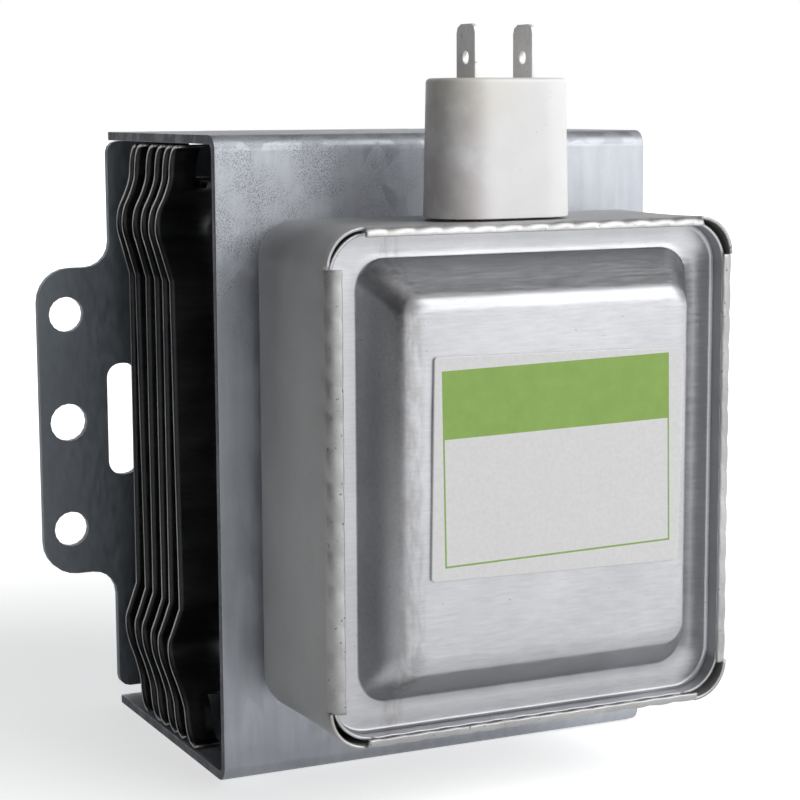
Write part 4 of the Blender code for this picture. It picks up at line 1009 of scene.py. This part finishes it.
# Studio
def light(name, place, target, size, power):
    """A square soft lamp that looks at the target."""
    lamp = bpy.data.lights.new(name, "AREA")
    lamp.size = size
    lamp.energy = power
    obj = bpy.data.objects.new(name, lamp)
    obj.location = place
    obj.rotation_mode = "QUATERNION"
    obj.rotation_quaternion = (Vector(target) - Vector(place)).to_track_quat("-Z", "Y")
    obj.visible_camera = False
    bpy.context.scene.collection.objects.link(obj)


def plane(name, size, place, turn=(0.0, 0.0, 0.0)):
    """A flat sheet of the stage."""
    bm = bmesh.new()
    bmesh.ops.create_grid(bm, x_segments=1, y_segments=1, size=0.5)
    mesh = bpy.data.meshes.new(name)
    bm.to_mesh(mesh)
    bm.free()
    obj = bpy.data.objects.new(name, mesh)
    obj.scale = (*size, 1.0)
    obj.location = place
    obj.rotation_euler = turn
    bpy.context.scene.collection.objects.link(obj)
    return obj


def studio():
    """Pale floor that runs out to white, white backdrop, a soft lamp high on the right and two dark cards."""
    light("key", (0.75, -0.95, 0.85), (0, 0, 0.05), 1.1, 14.5)
    world = bpy.data.worlds.new("studio")
    world.use_nodes = True
    world.node_tree.nodes.clear()
    bpy.context.scene.world = world
    g = Graph(world.node_tree)
    ambient = g.add("Background", {"Color": (0.93, 0.96, 1.0, 1.0), "Strength": 0.42})
    backdrop = g.add("Background", {"Color": (1, 1, 1, 1), "Strength": 1.0})
    mix = g.add("MixShader", {0: g.seen_rays(), 1: ambient.outputs[0], 2: backdrop.outputs[0]})
    g.add("OutputWorld", {"Surface": mix.outputs[0]})

    floor = plane("floor", (12.0, 12.0), (0, 0, -0.0002))
    s = Shader("floor_paper", 0.8, 0.0)
    s.paint(s.ramp(s.noise(0.3, 2.0), (0.3, (0.86, 0.86, 0.86)), (0.7, (0.88, 0.88, 0.88))))
    away = s.add("VectorMath", {"Vector": s.add("NewGeometry").outputs["Position"]}, operation="LENGTH")
    glow = s.span(away.outputs["Value"], 0.09, 0.27, 0.60, 1.0)
    s.feed((1, 1, 1, 1), s.bsdf.inputs["Emission Color"])
    s.feed(s.times(s.seen_rays(0.55), glow), s.bsdf.inputs["Emission Strength"])
    floor.data.materials.append(s.material)

    s = Shader("card_felt", 0.9, 0.0)
    s.paint(s.ramp(s.noise(0.05, 2.0), (0.3, (0.055, 0.055, 0.06)), (0.7, (0.07, 0.07, 0.075))))
    side_card = plane("side_card", (0.8, 0.8), (-0.27, 0.08, 0.40), (0, math.pi / 2, 0))
    ceiling_card = plane("ceiling_card", (1.0, 0.8), (0.25, 0.30, 0.62))
    for card in (side_card, ceiling_card):
        card.data.materials.append(s.material)
        card.visible_camera = False


def camera():
    """The photo's view: turned about +Z, tipped down and rolled a little."""
    level = math.cos(camera_pitch)
    back = Vector((math.sin(camera_turn) * level, -math.cos(camera_turn) * level, math.sin(camera_pitch)))
    right = Vector((0, 0, 1)).cross(back).normalized()
    up = back.cross(right)
    turned_right = right * math.cos(camera_roll) + up * math.sin(camera_roll)
    turned_up = up * math.cos(camera_roll) - right * math.sin(camera_roll)
    data = bpy.data.cameras.new("camera")
    data.lens = camera_lens
    data.sensor_width = 36.0
    data.clip_start = 0.01
    data.clip_end = 50.0
    obj = bpy.data.objects.new("camera", data)
    basis = Matrix((turned_right, turned_up, back)).transposed().to_4x4()
    obj.matrix_world = Matrix.Translation(camera_place) @ basis
    bpy.context.scene.collection.objects.link(obj)
    bpy.context.scene.camera = obj


dress_cad_nodes()
filter_box()
filter_lid()
label()
cooling_fins()
capacitor_housing()
spade_terminal("left")
spade_terminal("right")
rings()
antenna_cap()
output_seal()
rf_gasket()
studio()
camera()
bpy.context.scene.view_settings.view_transform = "Standard"
